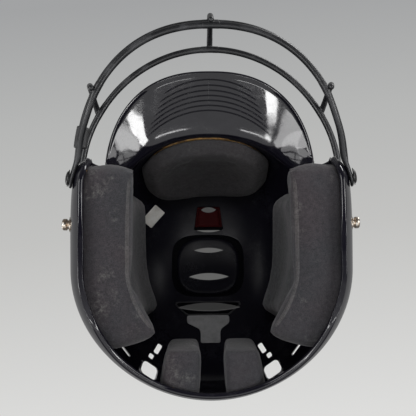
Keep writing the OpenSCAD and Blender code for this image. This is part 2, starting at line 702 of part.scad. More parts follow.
placed() shell();
placed() forehead_pad();
placed() mirror([1, 0, 0]) jaw_pad();  // left_jaw_pad
placed() jaw_pad();  // right_jaw_pad
placed() mirror([1, 0, 0]) side_pad();  // left_side_pad
placed() side_pad();  // right_side_pad
placed() mirror([1, 0, 0]) rear_pad();  // left_rear_pad
placed() rear_pad();  // right_rear_pad
placed() forehead_glue();
placed() jaw_glue();
placed() side_glue();
placed() rear_glue();
placed() guard_bar(upper_side);  // guard_upper_bar
placed() guard_bar(middle_side);  // guard_middle_bar
placed() guard_bar(chin_side);  // guard_chin_bar
placed() upright(upright_path(0, 0, 0));  // guard_centre_upright
placed() mirror([1, 0, 0]) upright(upright_path(side_upright[0], side_upright[1], side_upright[2]));  // guard_left_upright
placed() upright(upright_path(side_upright[0], side_upright[1], side_upright[2]));  // guard_right_upright
placed() guard_sleeve();
placed() guard_washers();
placed() guard_screws();
placed() guard_tee_nuts();
placed() mirror([1, 0, 0]) snap_stud();  // left_snap_stud
placed() snap_stud();  // right_snap_stud
placed() snap_washers();
placed() snap_nuts();
placed() crown_vent_insert();
placed() size_label();
placed() inner_label();
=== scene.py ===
# Softball batting helmet with a wire face guard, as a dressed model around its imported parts.
# Sizes are in millimetres about the head's axis until a mesh is made, which is in metres.
import math
import bpy
import numpy as np
from mathutils import Matrix, Vector
from mathutils.bvhtree import BVHTree


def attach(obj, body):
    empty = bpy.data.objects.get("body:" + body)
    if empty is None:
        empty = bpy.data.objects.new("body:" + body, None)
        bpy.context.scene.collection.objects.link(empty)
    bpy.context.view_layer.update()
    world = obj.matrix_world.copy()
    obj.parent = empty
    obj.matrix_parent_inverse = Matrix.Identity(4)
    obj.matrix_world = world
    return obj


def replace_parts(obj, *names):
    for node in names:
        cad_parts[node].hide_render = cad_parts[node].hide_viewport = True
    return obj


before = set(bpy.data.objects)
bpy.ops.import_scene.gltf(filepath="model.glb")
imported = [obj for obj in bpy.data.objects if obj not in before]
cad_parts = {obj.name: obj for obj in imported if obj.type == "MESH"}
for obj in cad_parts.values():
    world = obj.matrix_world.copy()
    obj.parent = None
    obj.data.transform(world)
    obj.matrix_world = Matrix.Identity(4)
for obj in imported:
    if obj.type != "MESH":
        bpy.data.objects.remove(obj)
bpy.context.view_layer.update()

# The shell is one moulding of glossy black ABS. The dome swells out into a flap over each
# ear, a bill grows out of the brow, and the free edge is rolled into a bead. Vents, ear
# holes and screw holes go through it, with their edges eased on both faces.
head_shift_y = 44.325
shell_h = 215
equator_z = 120
temple_half_w = 101
flap_half_w = 114
flap_wide_z = 50
rim_half_w = 101
front_reach = 117
back_reach = 115
nape_reach = 92
nape_z = 16
brow_z = 125
wall = 3.6
bead_r = 2.4
dome_square = 2.2
flap_square = 3.8
nape_square = 1.95
dome_round = 2.15
flap_reach = 140
occiput_z = 105
flap_edge_round = 48.5
curl_in = 8
curl_span = 8
rise = shell_h - equator_z
drop = rise * math.pi / 180


def mix(a, b, t):
    return a + (b - a) * t


def ease(t):
    u = np.clip(t, 0, 1)
    return u * u * (3 - 2 * u)


def sin_deg(angle):
    return np.sin(np.radians(angle))


def cos_deg(angle):
    return np.cos(np.radians(angle))


def unit(v):
    return v / np.linalg.norm(v, axis=-1, keepdims=True)


def z_of(down):
    return np.where(down <= 90, equator_z + rise * cos_deg(down), equator_z - (down - 90) * drop)


def down_of(z):
    z = np.asarray(z, float)
    over = np.degrees(np.arccos(np.clip((z - equator_z) / rise, -1, 1)))
    return np.where(z >= equator_z, over, 90 + (equator_z - z) / drop)


def close_in(z):
    share = np.clip((z - equator_z) / rise, 0, 1)
    return np.maximum(0, 1 - share**dome_round) ** (1 / dome_round)


def flare(z):
    return ease((z - flap_wide_z) / (equator_z - flap_wide_z))


def half_width(z):
    low = np.clip(1 - z / flap_wide_z, 0, 2)
    return np.where(z >= flap_wide_z, mix(flap_half_w, temple_half_w, flare(z)),
                    flap_half_w - (flap_half_w - rim_half_w) * low**2)


def reach(z, is_front):
    back = back_reach - (back_reach - nape_reach) * np.maximum(0, 1 - z / occiput_z) ** 2
    return np.where(is_front, mix(flap_reach, front_reach, flare(z)), back)


def oval(angle, half_w, length, square):
    across = (np.abs(sin_deg(angle)) / half_w) ** square
    along = (np.abs(cos_deg(angle)) / length) ** square
    return 1 / (across + along) ** (1 / square)


def plan_r(around, z):
    is_front = cos_deg(around) > 0
    low_square = np.where(is_front, flap_square, nape_square)
    square = mix(low_square, dome_square, flare(z))
    curl = np.maximum(0, 1 - np.maximum(0, np.abs(around) - flap_edge_round) / curl_span) ** 2
    return (close_in(z) * oval(around, half_width(z), reach(z, is_front), square)
            - curl_in * (1 - flare(z)) * curl)


def skin(around, down):
    """A point of the shell's outer face, by its angle round the head and down from the crown."""
    around, down = np.broadcast_arrays(np.asarray(around, float), np.asarray(down, float))
    z = z_of(down)
    r = plan_r(around, z)
    return np.stack([r * sin_deg(around), -r * cos_deg(around), z], -1)


def skin_normal(around, down):
    around, down = np.broadcast_arrays(np.asarray(around, float), np.asarray(down, float))
    level = np.maximum(down, 1.0)
    normal = np.cross(skin(around, level + 0.5) - skin(around, level - 0.5),
                      skin(around + 0.5, level) - skin(around - 0.5, level))
    return np.where(down[..., None] < 1, (0.0, 0.0, 1.0), unit(normal))


def off_skin(around, down, out):
    return skin(around, down) + skin_normal(around, down) * out


def smooth_line(points, steps):
    """A smooth line through points, with that many steps from each point to the next."""
    points = np.asarray(points, float)
    last = len(points) - 1
    line = []
    for i in range(last):
        a, b = points[max(0, i - 1)], points[i]
        c, d = points[i + 1], points[min(last, i + 2)]
        for t in np.arange(steps) / steps:
            line.append(0.5 * (2 * b + (c - a) * t + (2 * a - 5 * b + 4 * c - d) * t**2
                               + (3 * b - a - 3 * c + d) * t**3))
    return np.array(line + [points[last]])


def to_frame(points):
    return (np.asarray(points, float) + (0, head_shift_y, 0)) / 1000


def make_object(name, points, faces):
    """A mesh object of the helmet, from points in millimetres about the head."""
    mesh = bpy.data.meshes.new(name)
    mesh.from_pydata(to_frame(points).tolist(), [], [list(map(int, face)) for face in faces])
    thing = bpy.data.objects.new(name, mesh)
    bpy.context.scene.collection.objects.link(thing)
    return thing


def dress(piece, material):
    """Gives a piece its material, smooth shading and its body."""
    piece.data.materials.clear()
    piece.data.materials.append(material)
    piece.data.shade_smooth()
    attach(piece, "root")


def add_piece(name, points, faces, material, slot):
    piece = make_object(name, points, faces)
    piece.data.validate()
    dress(piece, material)
    return piece


def inside_out(faces):
    return [face[::-1] for face in faces]


def ring_faces(rings, sides, closed=True):
    """Quads between rows of points, each row a ring or, where not closed, a strip."""
    return [(j * sides + i, j * sides + (i + 1) % sides,
             (j + 1) * sides + (i + 1) % sides, (j + 1) * sides + i)
            for j in range(rings - 1) for i in range(sides if closed else sides - 1)]


def closed_body(rows, first_tip, last_tip):
    """Points and faces of a body from rings, with a fan at each end."""
    sides = len(rows[0])
    points = np.concatenate([*rows, [first_tip], [last_tip]])
    first, last = len(points) - 2, len(points) - 1
    end = (len(rows) - 1) * sides
    faces = ring_faces(len(rows), sides)
    faces += [(first, (i + 1) % sides, i) for i in range(sides)]
    faces += [(last, end + i, end + (i + 1) % sides) for i in range(sides)]
    return points, faces


def capped_body(rows):
    """Points and faces of a body from rings, with a flat face at each end."""
    sides = len(rows[0])
    end = (len(rows) - 1) * sides
    faces = inside_out(ring_faces(len(rows), sides))
    return np.concatenate(rows), faces + [tuple(range(sides)), tuple(range(end, end + sides))[::-1]]


def settle(piece):
    """Turns a piece's modifiers into its mesh."""
    depsgraph = bpy.context.evaluated_depsgraph_get()
    mesh = bpy.data.meshes.new_from_object(piece.evaluated_get(depsgraph))
    piece.modifiers.clear()
    piece.data = mesh


rim_points = [(0, brow_z), (16, brow_z - 1.5), (31, brow_z - 7), (42, brow_z - 21),
              (flap_edge_round - 1, 82), (flap_edge_round, 52), (flap_edge_round - 0.5, 24), (53, 5),
              (70, -1.1), (90, -1.1), (112, -1.1), (135, nape_z / 2), (158, nape_z - 1), (180, nape_z)]
rim_steps = 10
rim = smooth_line(rim_points, rim_steps)
rim_cols = len(rim) - 1
rim_around = rim[:, 0]
rim_down = down_of(rim[:, 1])
bill_cols = 11 / 3 * rim_steps
bill_root_y = 60
bill_half_w = 93.5
bill_square = 2.4
bill_turn = 76
bill_reach = 172
bill_tip_z = 115
bill_side_z = 99
bill_sweep = 11
bill_lip = 0.7
outer_rows = 60
edge_rows = 48
inner_rows = 60
col = np.arange(rim_cols + 1)
bill_share = 1 - ease((col / bill_cols - 0.94) / 0.13)
wall_end = rim_down - mix(bead_r, bill_sweep * 0.8, bill_share) / drop


def wall_row(t, out):
    around = mix(180 * col / rim_cols, rim_around, ease(t))
    return off_skin(around, wall_end * t, out)


rim_normal = skin_normal(rim_around, rim_down)
rim_before = skin(rim_around[np.maximum(col - 1, 0)], rim_down[np.maximum(col - 1, 0)])
rim_after = skin(rim_around[np.minimum(col + 1, rim_cols)], rim_down[np.minimum(col + 1, rim_cols)])
rim_out = unit(np.cross(rim_after - rim_before, rim_normal))
rim_middle = off_skin(rim_around, rim_down, -wall / 2)


def bead_row(share):
    turn = 180 * share
    return (rim_middle - rim_out * bead_r
            + (rim_normal * cos_deg(turn) + rim_out * sin_deg(turn)) * bead_r)


bill_angle = bill_turn * col / bill_cols
bill_r = oval(bill_angle, bill_half_w, bill_reach - bill_root_y, bill_square)
bill_tip = np.stack([bill_r * sin_deg(bill_angle), -bill_root_y - bill_r * cos_deg(bill_angle),
                     mix(bill_tip_z, bill_side_z, (bill_r * sin_deg(bill_angle) / bill_half_w) ** 2)], -1)
bill_way = unit(bill_tip - rim_middle)
bill_length = np.linalg.norm(bill_tip - rim_middle, axis=-1, keepdims=True)
wall_down = unit(skin(rim_around, wall_end + 0.5) - skin(rim_around, wall_end - 0.5))


def bill_flat(run, side):
    """A point on the bill's upper face (side 1) or underside (-1), at that distance from its root."""
    share = run / bill_length
    half_t = mix(2.0, 1.6, share)
    lift = 0.9 * np.sin(np.pi * np.clip(share, 0, 1))
    lip = bill_lip * ease((run - bill_length + 4.2) / 1.4) if side < 0 else 0
    return rim_middle + bill_way * run + np.array([0, 0, 1.0]) * (half_t * side + lift - lip)


def bend(a, a_way, b, b_way, t):
    """A bend from a to b that leaves along a_way and arrives along b_way."""
    pull = 0.55 * np.linalg.norm(b - a, axis=-1, keepdims=True)
    return ((1 - t) ** 3 * a + 3 * (1 - t) ** 2 * t * (a + a_way * pull)
            + 3 * (1 - t) * t**2 * (b - b_way * pull) + t**3 * b)


def bill_row(share):
    """A row of the bill's section, from the outer wall over the tip to the inner wall."""
    end = bill_length - 1.5
    if share <= 0.2:
        return bend(wall_row(1, 0), wall_down, bill_flat(bill_sweep, 1), bill_way, share / 0.2)
    if share <= 0.45:
        return bill_flat(mix(bill_sweep, end, (share - 0.2) / 0.25), 1)
    if share < 0.55:
        turn = (share - 0.45) / 0.1 * 180
        middle = (bill_flat(end, 1) + bill_flat(end, -1)) / 2
        return (middle + (bill_flat(end, 1) - middle) * cos_deg(turn) + bill_way * 1.5 * sin_deg(turn))
    if share < 0.8:
        return bill_flat(mix(end, bill_sweep, ((share - 0.55) / 0.25) ** 1.8), -1)
    return bend(bill_flat(bill_sweep, -1), -bill_way, wall_row(1, -wall), -wall_down, (share - 0.8) / 0.2)


def edge_row(share):
    return mix(bead_row(share), bill_row(share), bill_share[:, None])


def both_halves(half):
    half = half.copy()
    half[0, 0] = half[-1, 0] = 0
    return np.concatenate([half, half[-2:0:-1] * (-1, 1, 1)])


shell_rows = ([wall_row((j + 1) / outer_rows, 0) for j in range(outer_rows)]
              + [edge_row(j / edge_rows) for j in range(1, edge_rows)]
              + [wall_row((inner_rows - j) / inner_rows, -wall) for j in range(inner_rows)])
shell_points, shell_faces = closed_body([both_halves(row) for row in shell_rows],
                                        (0, 0, shell_h), (0, 0, shell_h - wall))
shell_points[:, 2] = np.maximum(shell_points[:, 2], 0)
shell_faces = inside_out(shell_faces)


def fill_sockets(tree, node, values):
    """Sets a node's inputs, or links them where the value is another node's output."""
    for key, value in values.items():
        socket = node.inputs[key]
        if isinstance(value, bpy.types.NodeSocket):
            tree.links.new(value, socket)
        elif socket.type == "RGBA":
            socket.default_value = (*value, 1)
        else:
            socket.default_value = value


def add_node(tree, kind, values, **settings):
    node = tree.nodes.new("ShaderNode" + kind)
    for name, setting in settings.items():
        setattr(node, name, setting)
    fill_sockets(tree, node, values)
    return node


def start_material(name, colour, roughness):
    """A Principled material with object coordinates in millimetres, and its parts."""
    material = bpy.data.materials.new(name)
    material.use_nodes = True
    tree = material.node_tree
    shader = tree.nodes["Principled BSDF"]
    fill_sockets(tree, shader, {"Base Color": colour, "Roughness": roughness})
    where = add_node(tree, "TexCoord", {}).outputs["Object"]
    return material, tree, shader, vector_math(tree, "SCALE", {0: where, "Scale": 1000})


def vector_math(tree, operation, values, result=0):
    return add_node(tree, "VectorMath", values, operation=operation).outputs[result]


def stretch(tree, vector, amounts):
    """The coordinates, multiplied by an amount for each axis."""
    return vector_math(tree, "MULTIPLY", {0: vector, 1: amounts})


def noise(tree, vector, scale, detail=3.0, rough=0.5, twist=0.0):
    """Noise with scale features to a millimetre."""
    return add_node(tree, "TexNoise", {"Vector": vector, "Scale": scale, "Detail": detail,
                                       "Roughness": rough, "Distortion": twist}).outputs["Fac"]


def ramp(tree, value, stops):
    """Stops are (place, colour) or (place, grey level)."""
    node = tree.nodes.new("ShaderNodeValToRGB")
    elements = node.color_ramp.elements
    while len(elements) < len(stops):
        elements.new(0.5)
    for element, (place, colour) in zip(elements, stops):
        element.position = place
        element.color = (*colour, 1) if isinstance(colour, tuple) else (colour, colour, colour, 1)
    tree.links.new(value, node.inputs["Fac"])
    return node.outputs["Color"]


def math_node(tree, operation, a, b):
    return add_node(tree, "Math", {0: a, 1: b}, operation=operation).outputs[0]


def blend_colours(tree, share, a, b, way="MIX"):
    return add_node(tree, "Mix", {"Factor": share, "A": a, "B": b}, data_type="RGBA",
                    blend_type=way).outputs["Result"]


def bump(tree, height, strength, distance, before=None):
    """A bump by a height, in millimetres, on top of one from before."""
    values = {"Strength": strength, "Distance": distance / 1000, "Height": height}
    if before is not None:
        values["Normal"] = before
    return add_node(tree, "Bump", values).outputs["Normal"]


def inside_of_dome(tree, at):
    """1 on the inner face of the dome and 0 on the rest of the shell."""
    facing = vector_math(tree, "DOT_PRODUCT", {
        0: vector_math(tree, "SUBTRACT", {0: at, 1: (0, head_shift_y, equator_z)}),
        1: add_node(tree, "NewGeometry", {}).outputs["Normal"]}, "Value")
    height = add_node(tree, "SeparateXYZ", {0: at}).outputs["Z"]
    high = ramp(tree, math_node(tree, "DIVIDE", height, shell_h), [(0.6, 0.0), (0.7, 1.0)])
    turned_in = ramp(tree, math_node(tree, "ADD", math_node(tree, "DIVIDE", facing, 60), 0.5),
                     [(0.3, 1.0), (0.5, 0.0)])
    return math_node(tree, "MULTIPLY", turned_in, high)


def glossy_plastic(name, colour, worn_colour, roughness, inside_roughness=None, inside_specular=0.2,
                   worn_share=0.35, specular=0.5):
    """Moulded plastic with smudges, faint swirls from handling and a few paler scuffs. The
    inside of the dome can be duller, as the mould's core left it."""
    material, tree, shader, at = start_material(name, colour, roughness)
    smudge = noise(tree, at, 0.035, 5, 0.6)
    speck = noise(tree, at, 0.6, 4, 0.7)
    haze = ramp(tree, noise(tree, at, 0.14, 6, 0.7), [(0.42, 0.0), (0.7, 0.5)])
    scuffs = math_node(tree, "MULTIPLY", ramp(tree, smudge, [(0.5, 0.15), (0.7, 1.0)]),
                       math_node(tree, "ADD", haze, ramp(tree, speck, [(0.52, 0.0), (0.75, 0.8)])))
    swirl = noise(tree, at, 0.09, 6, twist=2.5)
    dull = math_node(tree, "ADD", ramp(tree, smudge, [(0.4, roughness), (0.75, roughness + 0.1)]),
                     ramp(tree, swirl, [(0.48, 0.0), (0.54, 0.04), (0.6, 0.0)]))
    if inside_roughness is not None:
        core = inside_of_dome(tree, at)
        dull = blend_colours(tree, core, dull, (inside_roughness,) * 3)
        specular = blend_colours(tree, core, (specular,) * 3, (inside_specular,) * 3)
    wave = bump(tree, noise(tree, at, 0.05, 2), 0.2, 0.4)
    worn = math_node(tree, "MULTIPLY", scuffs, worn_share)
    fill_sockets(tree, shader, {
        "Base Color": blend_colours(tree, worn, colour, worn_colour),
        "Roughness": dull,
        "Specular IOR Level": specular,
        "Normal": bump(tree, speck, 0.03, 0.05, wave)})
    return material


shell_black = glossy_plastic("shell_black", (0.005, 0.0046, 0.0085), (0.06, 0.06, 0.065), 0.045, 0.27)
shell = add_piece("helmet_shell", shell_points, shell_faces, shell_black, "shell_plastic")
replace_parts(shell, "shell")
whole_shell = BVHTree.FromPolygons([Vector(p) for p in shell_points], shell_faces)


x_axis, y_axis, z_axis = np.eye(3)


def on_shell(around, down):
    """Origin and axes (side, up, out) on the outer face."""
    out = skin_normal(around, down)
    side = unit(np.cross((0, 0, 1), out))
    return skin(around, down), side, np.cross(out, side), out


cutter_reach = 30
brim_share = 0.467
slot_easing = 0.4
vent_easing = 0.5
hole_easing = 0.3
ear_easing = 1.2


def eased_cutter(outline, origin, side, up, out, easing):
    """A cutter along out, whose section widens by easing where it meets either face of the shell."""
    outline = np.asarray(outline, float)
    away = unit(outline - outline.mean(0))
    rows = []
    brim = brim_share * easing
    for under, lift, wider in ((False, cutter_reach, 1), (False, brim, 1), (False, -easing, 0),
                               (True, easing, 0), (True, -brim, 1), (True, -cutter_reach, 1)):
        row = []
        for point, way in zip(outline, away):
            base = origin + side * point[0] + up * point[1]
            face = whole_shell.ray_cast(Vector(base + out * 40), Vector(-out))[0]
            if under:
                face = whole_shell.ray_cast(face - Vector(out) * 0.5, Vector(-out))[0]
            row.append(np.array(face) + out * lift + (side * way[0] + up * way[1]) * wider * easing)
        rows.append(row)
    return make_object("cutter", *capped_body(rows))


vent_steepness = 75


def vent_cutter(around, z, width, height):
    """A rear vent is cut along an axis far steeper than the wall, so it slants through it."""
    origin, side, _, out = on_shell(around, down_of(z))
    level = unit(out * (1, 1, 0))
    axis = level * cos_deg(vent_steepness) + z_axis * sin_deg(vent_steepness)
    section = height * float(out @ axis)
    outline = rounded_box(width, section, 0.3 * min(width, section))
    return eased_cutter(outline, origin, side, np.cross(axis, side), axis, vent_easing)


def lens(width, length, steps=24):
    """A slot's outline with two bowed sides that meet in a point."""
    x = np.linspace(-1, 1, steps)
    top = [(v * width / 2, (1 - v * v) * length / 2 + 0.15) for v in x]
    return top[::-1] + [(-a, -b) for a, b in top[::-1]]


def rounded_box(width, height, corner, steps=6):
    points = []
    for k, (sx, sy) in enumerate(((1, 1), (-1, 1), (-1, -1), (1, -1))):
        for a in np.linspace(90 * k, 90 * k + 90, steps):
            points.append((sx * (width / 2 - corner) + corner * cos_deg(a),
                           sy * (height / 2 - corner) + corner * sin_deg(a)))
    return points


def circle(r, steps=48):
    return [(r * cos_deg(a), r * sin_deg(a)) for a in np.arange(steps) * 360 / steps]


crown_slots = [(-47, 14.6, 5), (-26.6, 23.9, 4.3), (-5.8, 29.1, 4.8), (21, 39.7, 6.7), (51, 62, 7.5)]
rear_vents = [(150, 125, 16, 46), (148.3, 155, 5, 8), (149.8, 168.5, 5, 14), (134.6, 116, 15, 7.5)]
screw_around = 56.3
lower_screw_z = 28
upper_screw_z = 70
screw_hole_r = 3.4
stud_around = 72.4
stud_z = 50
stud_hole_r = 2.4
ear_around = 92
ear_hole_z = 74
ear_hole_r = 19
cutters = [eased_cutter(lens(width, length), np.array([0, y, shell_h - 20.0]), x_axis, y_axis, z_axis,
                        slot_easing) for y, width, length in crown_slots]
for sign in (1, -1):
    cutters += [vent_cutter(sign * around, *vent) for around, *vent in rear_vents]
    for outline, around, z, easing in (
            (circle(ear_hole_r), ear_around, ear_hole_z, ear_easing),
            (circle(screw_hole_r, 24), screw_around, lower_screw_z, hole_easing),
            (circle(screw_hole_r, 24), screw_around, upper_screw_z, hole_easing),
            (circle(stud_hole_r, 24), stud_around, stud_z, hole_easing)):
        cutters.append(eased_cutter(outline, *on_shell(sign * around, down_of(z)), easing))
vent_cuts = bpy.data.collections.new("vent_cuts")
for cutter in cutters:
    vent_cuts.objects.link(cutter)
bpy.context.scene.collection.children.link(vent_cuts)
cut = shell.modifiers.new("vents", "BOOLEAN")
cut.operation = "DIFFERENCE"
cut.operand_type = "COLLECTION"
cut.collection = vent_cuts
cut.solver = "EXACT"
settle(shell)
for cutter in cutters:
    bpy.data.objects.remove(cutter)
bpy.data.collections.remove(vent_cuts)
shell.data.set_sharp_from_angle(angle=math.radians(38))

# Fine ribs are moulded into the underside of the bill, as arcs that run from side to side,
# with the mould's parting line down the middle. They are of the shell's own plastic.
rib_fronts = [164.5, 159.6, 155, 150.6, 146.2, 141.8, 137.4]
rib_bows = [70, 71, 72, 73, 74, 75, 76]
rib_spans = [43, 47, 50, 53, 56, 58, 59]
rib_w = 1.6
rib_h = 0.9
rib_middle_x = -0.5
seam_ends = (-167, -136)
seam_w = 0.9
seam_h = 0.45


def raised_line(points, normals, width, height, taper):
    """A low rounded ridge on a surface, which sinks into it at both ends."""
    points, normals = np.asarray(points), np.asarray(normals)
    width, height = np.reshape(width, (-1, 1)), np.reshape(height, (-1, 1))
    across = unit(np.cross(unit(np.gradient(points, axis=0)), normals))
    count = len(points)
    fade = np.clip(np.minimum(np.arange(count), np.arange(count)[::-1]) / taper, 0, 1)[:, None]
    profile = [(-1, -0.5), (-0.72, 0.15), (-0.4, 0.75), (0, 1), (0.4, 0.75), (0.72, 0.15), (1, -0.5)]
    rows = [points + across * width / 2 * side * (0.4 + 0.6 * fade)
            + normals * height * (lift * fade - (1 - fade) * 0.6) for side, lift in profile]
    starts = range(0, count * len(rows), count)
    return np.concatenate(rows), (ring_faces(len(rows), count, closed=False)
                                  + [tuple(starts)[::-1], tuple(v + count - 1 for v in starts)])


def underside_line(xs, ys, *form):
    """A raised line on the bill's underside, above a line of the plan."""
    hits = [whole_shell.ray_cast(Vector((x, y, 60)), Vector(z_axis)) for x, y in np.broadcast(xs, ys)]
    return raised_line([hit[0] for hit in hits], [hit[1] for hit in hits], *form)


def joined(bodies):
    """The points and faces of several bodies as one."""
    points, faces, count = [], [], 0
    for new, new_faces in bodies:
        faces += [[v + count for v in face] for face in new_faces]
        points.append(new)
        count += len(new)
    return np.concatenate(points), faces


ribs = []
for front, bow, span in zip(rib_fronts, rib_bows, rib_spans):
    xs = np.linspace(-span, span, 97) + rib_middle_x
    ribs.append(underside_line(xs, bow - front - np.sqrt(bow * bow - xs * xs), rib_w, rib_h, 8))
ribs.append(underside_line(-0.4, np.linspace(*seam_ends, 40), seam_w, seam_h, 3))
add_piece("bill_ribs", *joined(ribs), shell_black, "shell_plastic")

# Inside the crown the shell has a raised panel round its middle slots, and a low frame
# behind them round the widest slot. Both are part of the moulding.
panel_middle = (-1, 10)
panel_size = (65, 59)
groove_size = (75, 64)
panel_lift = 2.4
back_shares = (0.3, 0.6, 0.9)
slot_gap = 0.9
frame_corners = [(-34.5, 46.5), (32, 46.5), (33, 49.5), (21.5, 59.5), (19.5, 60.5),
                 (-22.5, 60.5), (-24.5, 59.5), (-35.5, 49.5)]


def dome_down(x, y):
    """The angle down from the crown of the place above a point of the plan."""
    edge = oval(np.degrees(np.arctan2(x, -y)), temple_half_w, np.where(y < 0, front_reach, back_reach),
                dome_square)
    share = np.clip(np.hypot(x, y) / edge, 0, 1)
    return np.degrees(np.arccos((1 - share**dome_round) ** (1 / dome_round)))


def off_dome(x, y, out):
    x, y = np.asarray(x, float), np.asarray(y, float)
    return off_skin(np.degrees(np.arctan2(x, -y)), dome_down(x, y), out)


def dome_plate(outline, profile):
    """A plate inside the dome from its outline in plan. The profile's rows are (share of the
    outline, or inset from it in millimetres where negative, height into the head). Rows between
    its middle and its edge bend its back to the dome."""
    outline = np.asarray(outline, float)
    middle = outline.mean(0)
    way = unit(np.roll(outline, -1, 0) - np.roll(outline, 1, 0))
    inward = np.stack([-way[:, 1], way[:, 0]], -1)
    first, last = profile[0][1], profile[-1][1]
    rows = []
    for size, height in [(share, first) for share in back_shares] + profile:
        at = outline - inward * size if size <= 0 else middle + (outline - middle) * size
        rows.append(off_dome(at[:, 0], at[:, 1], -wall - height))
    points, faces = closed_body(rows, off_dome(*middle, -wall - first), off_dome(*middle, -wall - last))
    return points, inside_out(faces)


def plan_outline(middle, size, square):
    angle = np.arange(96) * 360 / 96
    r = oval(angle, 1, 1, square)
    return np.stack([middle[0] + r * cos_deg(angle) * size[0] / 2,
                     middle[1] + r * sin_deg(angle) * size[1] / 2], -1)


def cut_out(piece, cutter, self_crossing=False):
    """Cuts a shape from a piece and removes the shape."""
    cut = piece.modifiers.new("cut", "BOOLEAN")
    cut.operation = "DIFFERENCE"
    cut.object = cutter
    cut.solver = "EXACT"
    cut.use_self = self_crossing
    settle(piece)
    bpy.data.objects.remove(cutter)


def cut_slot(piece, slot, gap):
    """Opens a piece inside the dome where a slot goes through it."""
    y, width, length = slot
    outline = np.array(lens(width + 2 * gap, length + 2 * gap)) + (0, y)
    cut_out(piece, make_object("slot", *capped_body([
        np.column_stack([outline, np.full(len(outline), z)]) for z in (shell_h + 20, shell_h - 60)])))
    piece.data.set_sharp_from_angle(angle=math.radians(35))


core_black = glossy_plastic("core_black", (0.004, 0.0037, 0.007), (0.02, 0.02, 0.025), 0.2,
                            worn_share=0.15, specular=0.25)
# A near-black plastic that hardly reflects is painted shade: a plate of it under the panel's edge makes the
# dark ring round the panel, it floors the vent frame, and the lip behind the red insert is made of it.
painted_shade_black = glossy_plastic("painted_shade_black", (0.001, 0.001, 0.002), (0.01, 0.01, 0.012), 0.5,
                              worn_share=0.1, specular=0.05)
crown_groove = add_piece("crown_groove", *dome_plate(
    plan_outline(panel_middle, groove_size, 3.6),
    [(0, -0.6), (0, 0.1), (-0.8, 0.45), (0.9, 0.6), (0.6, 0.6), (0.3, 0.6)]), painted_shade_black, "shell_plastic")
crown_panel = add_piece("crown_panel", *dome_plate(
    plan_outline(panel_middle, panel_size, 2.7),
    [(0, 0.3), (0, 1.0), (-0.5, panel_lift - 0.8), (-1.2, panel_lift - 0.4), (-2.2, panel_lift - 0.1),
     (-3.2, panel_lift), (0.7, panel_lift), (0.45, panel_lift), (0.2, panel_lift)]),
    core_black, "shell_plastic")
for piece in (crown_groove, crown_panel):
    for slot in crown_slots[2:4]:
        cut_slot(piece, slot, slot_gap)


def rounded_corners(corners, radius, steps=5):
    """A closed outline with its corners rounded."""
    corners = np.asarray(corners, float)
    points = []
    for k, corner in enumerate(corners):
        before, after = corners[k - 1] - corner, corners[(k + 1) % len(corners)] - corner
        r = min(radius, np.linalg.norm(before) * 0.45, np.linalg.norm(after) * 0.45)
        a, b = corner + unit(before) * r, corner + unit(after) * r
        for t in np.linspace(0, 1, steps):
            points.append((1 - t) ** 2 * a + 2 * (1 - t) * t * corner + t * t * b)
    return np.array(points)


def finer(outline, spacing):
    """The same closed outline with points at most that far apart."""
    points = []
    for a, b in zip(outline, np.roll(outline, -1, 0)):
        steps = max(1, int(np.ceil(np.linalg.norm(b - a) / spacing)))
        points += [a + (b - a) * t for t in np.arange(steps) / steps]
    return np.array(points)


frame_outline = finer(rounded_corners(frame_corners, 2.5), 2.0)
frame_grey = glossy_plastic("frame_grey", (0.035, 0.035, 0.038), (0.08, 0.08, 0.085), 0.3)
vent_frame = add_piece("crown_vent_frame", *dome_plate(
    frame_outline, [(0, -0.6), (0, 0.6), (-0.3, 1.1), (-0.7, 1.3), (-1.1, 1.1), (-1.4, 0.35), (0.7, 0.3),
                    (0.3, 0.3)]), frame_grey, "shell_plastic")
floor_outline = frame_outline.mean(0) + (frame_outline - frame_outline.mean(0)) * (0.95, 0.78)
frame_floor = add_piece("crown_frame_floor", *dome_plate(
    floor_outline, [(0, 0.1), (0, 0.8), (-0.3, 0.9), (0.6, 0.9), (0.3, 0.9)]), painted_shade_black, "shell_plastic")
for piece in (vent_frame, frame_floor):
    cut_slot(piece, crown_slots[4], slot_gap)

# A dark red insert is glued in round the front slot of the crown. It is a thin moulding with a raised rim,
# and a black lip behind it leans over the second slot. The lip's near-black plastic is painted shade over
# that slot.
insert_gap = 0.5
red_outline = finer(rounded_corners([(-14.5, -29.5), (-11.8, -51.3), (11.8, -51.3), (14.5, -29.5)], 2.5), 1.6)
red_plastic = glossy_plastic("insert_red", (0.036, 0.004, 0.005), (0.10, 0.025, 0.025), 0.35, specular=0.04)
red_insert = add_piece("crown_insert", *dome_plate(
    red_outline, [(0, 0.3), (0, 2.4), (-0.3, 2.8), (-0.8, 2.95), (-1.5, 2.8), (-2.1, 2.3), (-2.5, 1.3),
                  (-2.9, 1.05), (0.6, 1.0), (0.3, 1.0)]), red_plastic, "red_plastic")
cut_slot(red_insert, crown_slots[0], insert_gap)
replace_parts(red_insert, "crown_vent_insert")
lip_outline = finer(rounded_corners([(-14.8, -27.4), (-15.2, -30.8), (15.2, -30.8), (14.8, -27.4)], 1.2), 1.6)
add_piece("insert_lip", *dome_plate(lip_outline, [(0, 0.2), (0, 2.9), (-0.4, 3.4), (-0.9, 3.6), (0.3, 3.6)]),
          painted_shade_black, "shell_plastic")

# Two labels are stuck inside: a small white one at the left temple and a grey one between
# the rear pads, with a wide head and a narrow stem. Both are thin vinyl.
size_label_place = (-57, -42)
size_label_size = (12.5, 21)
size_label_turn = 42
inner_label_corners = [(-23, 60.5), (20.5, 60.5), (20.5, 67.5), (12, 73.5), (11, 77), (11, 86.5),
                       (-9, 86.5), (-9, 77), (-10.5, 73.5), (-23, 67.5)]


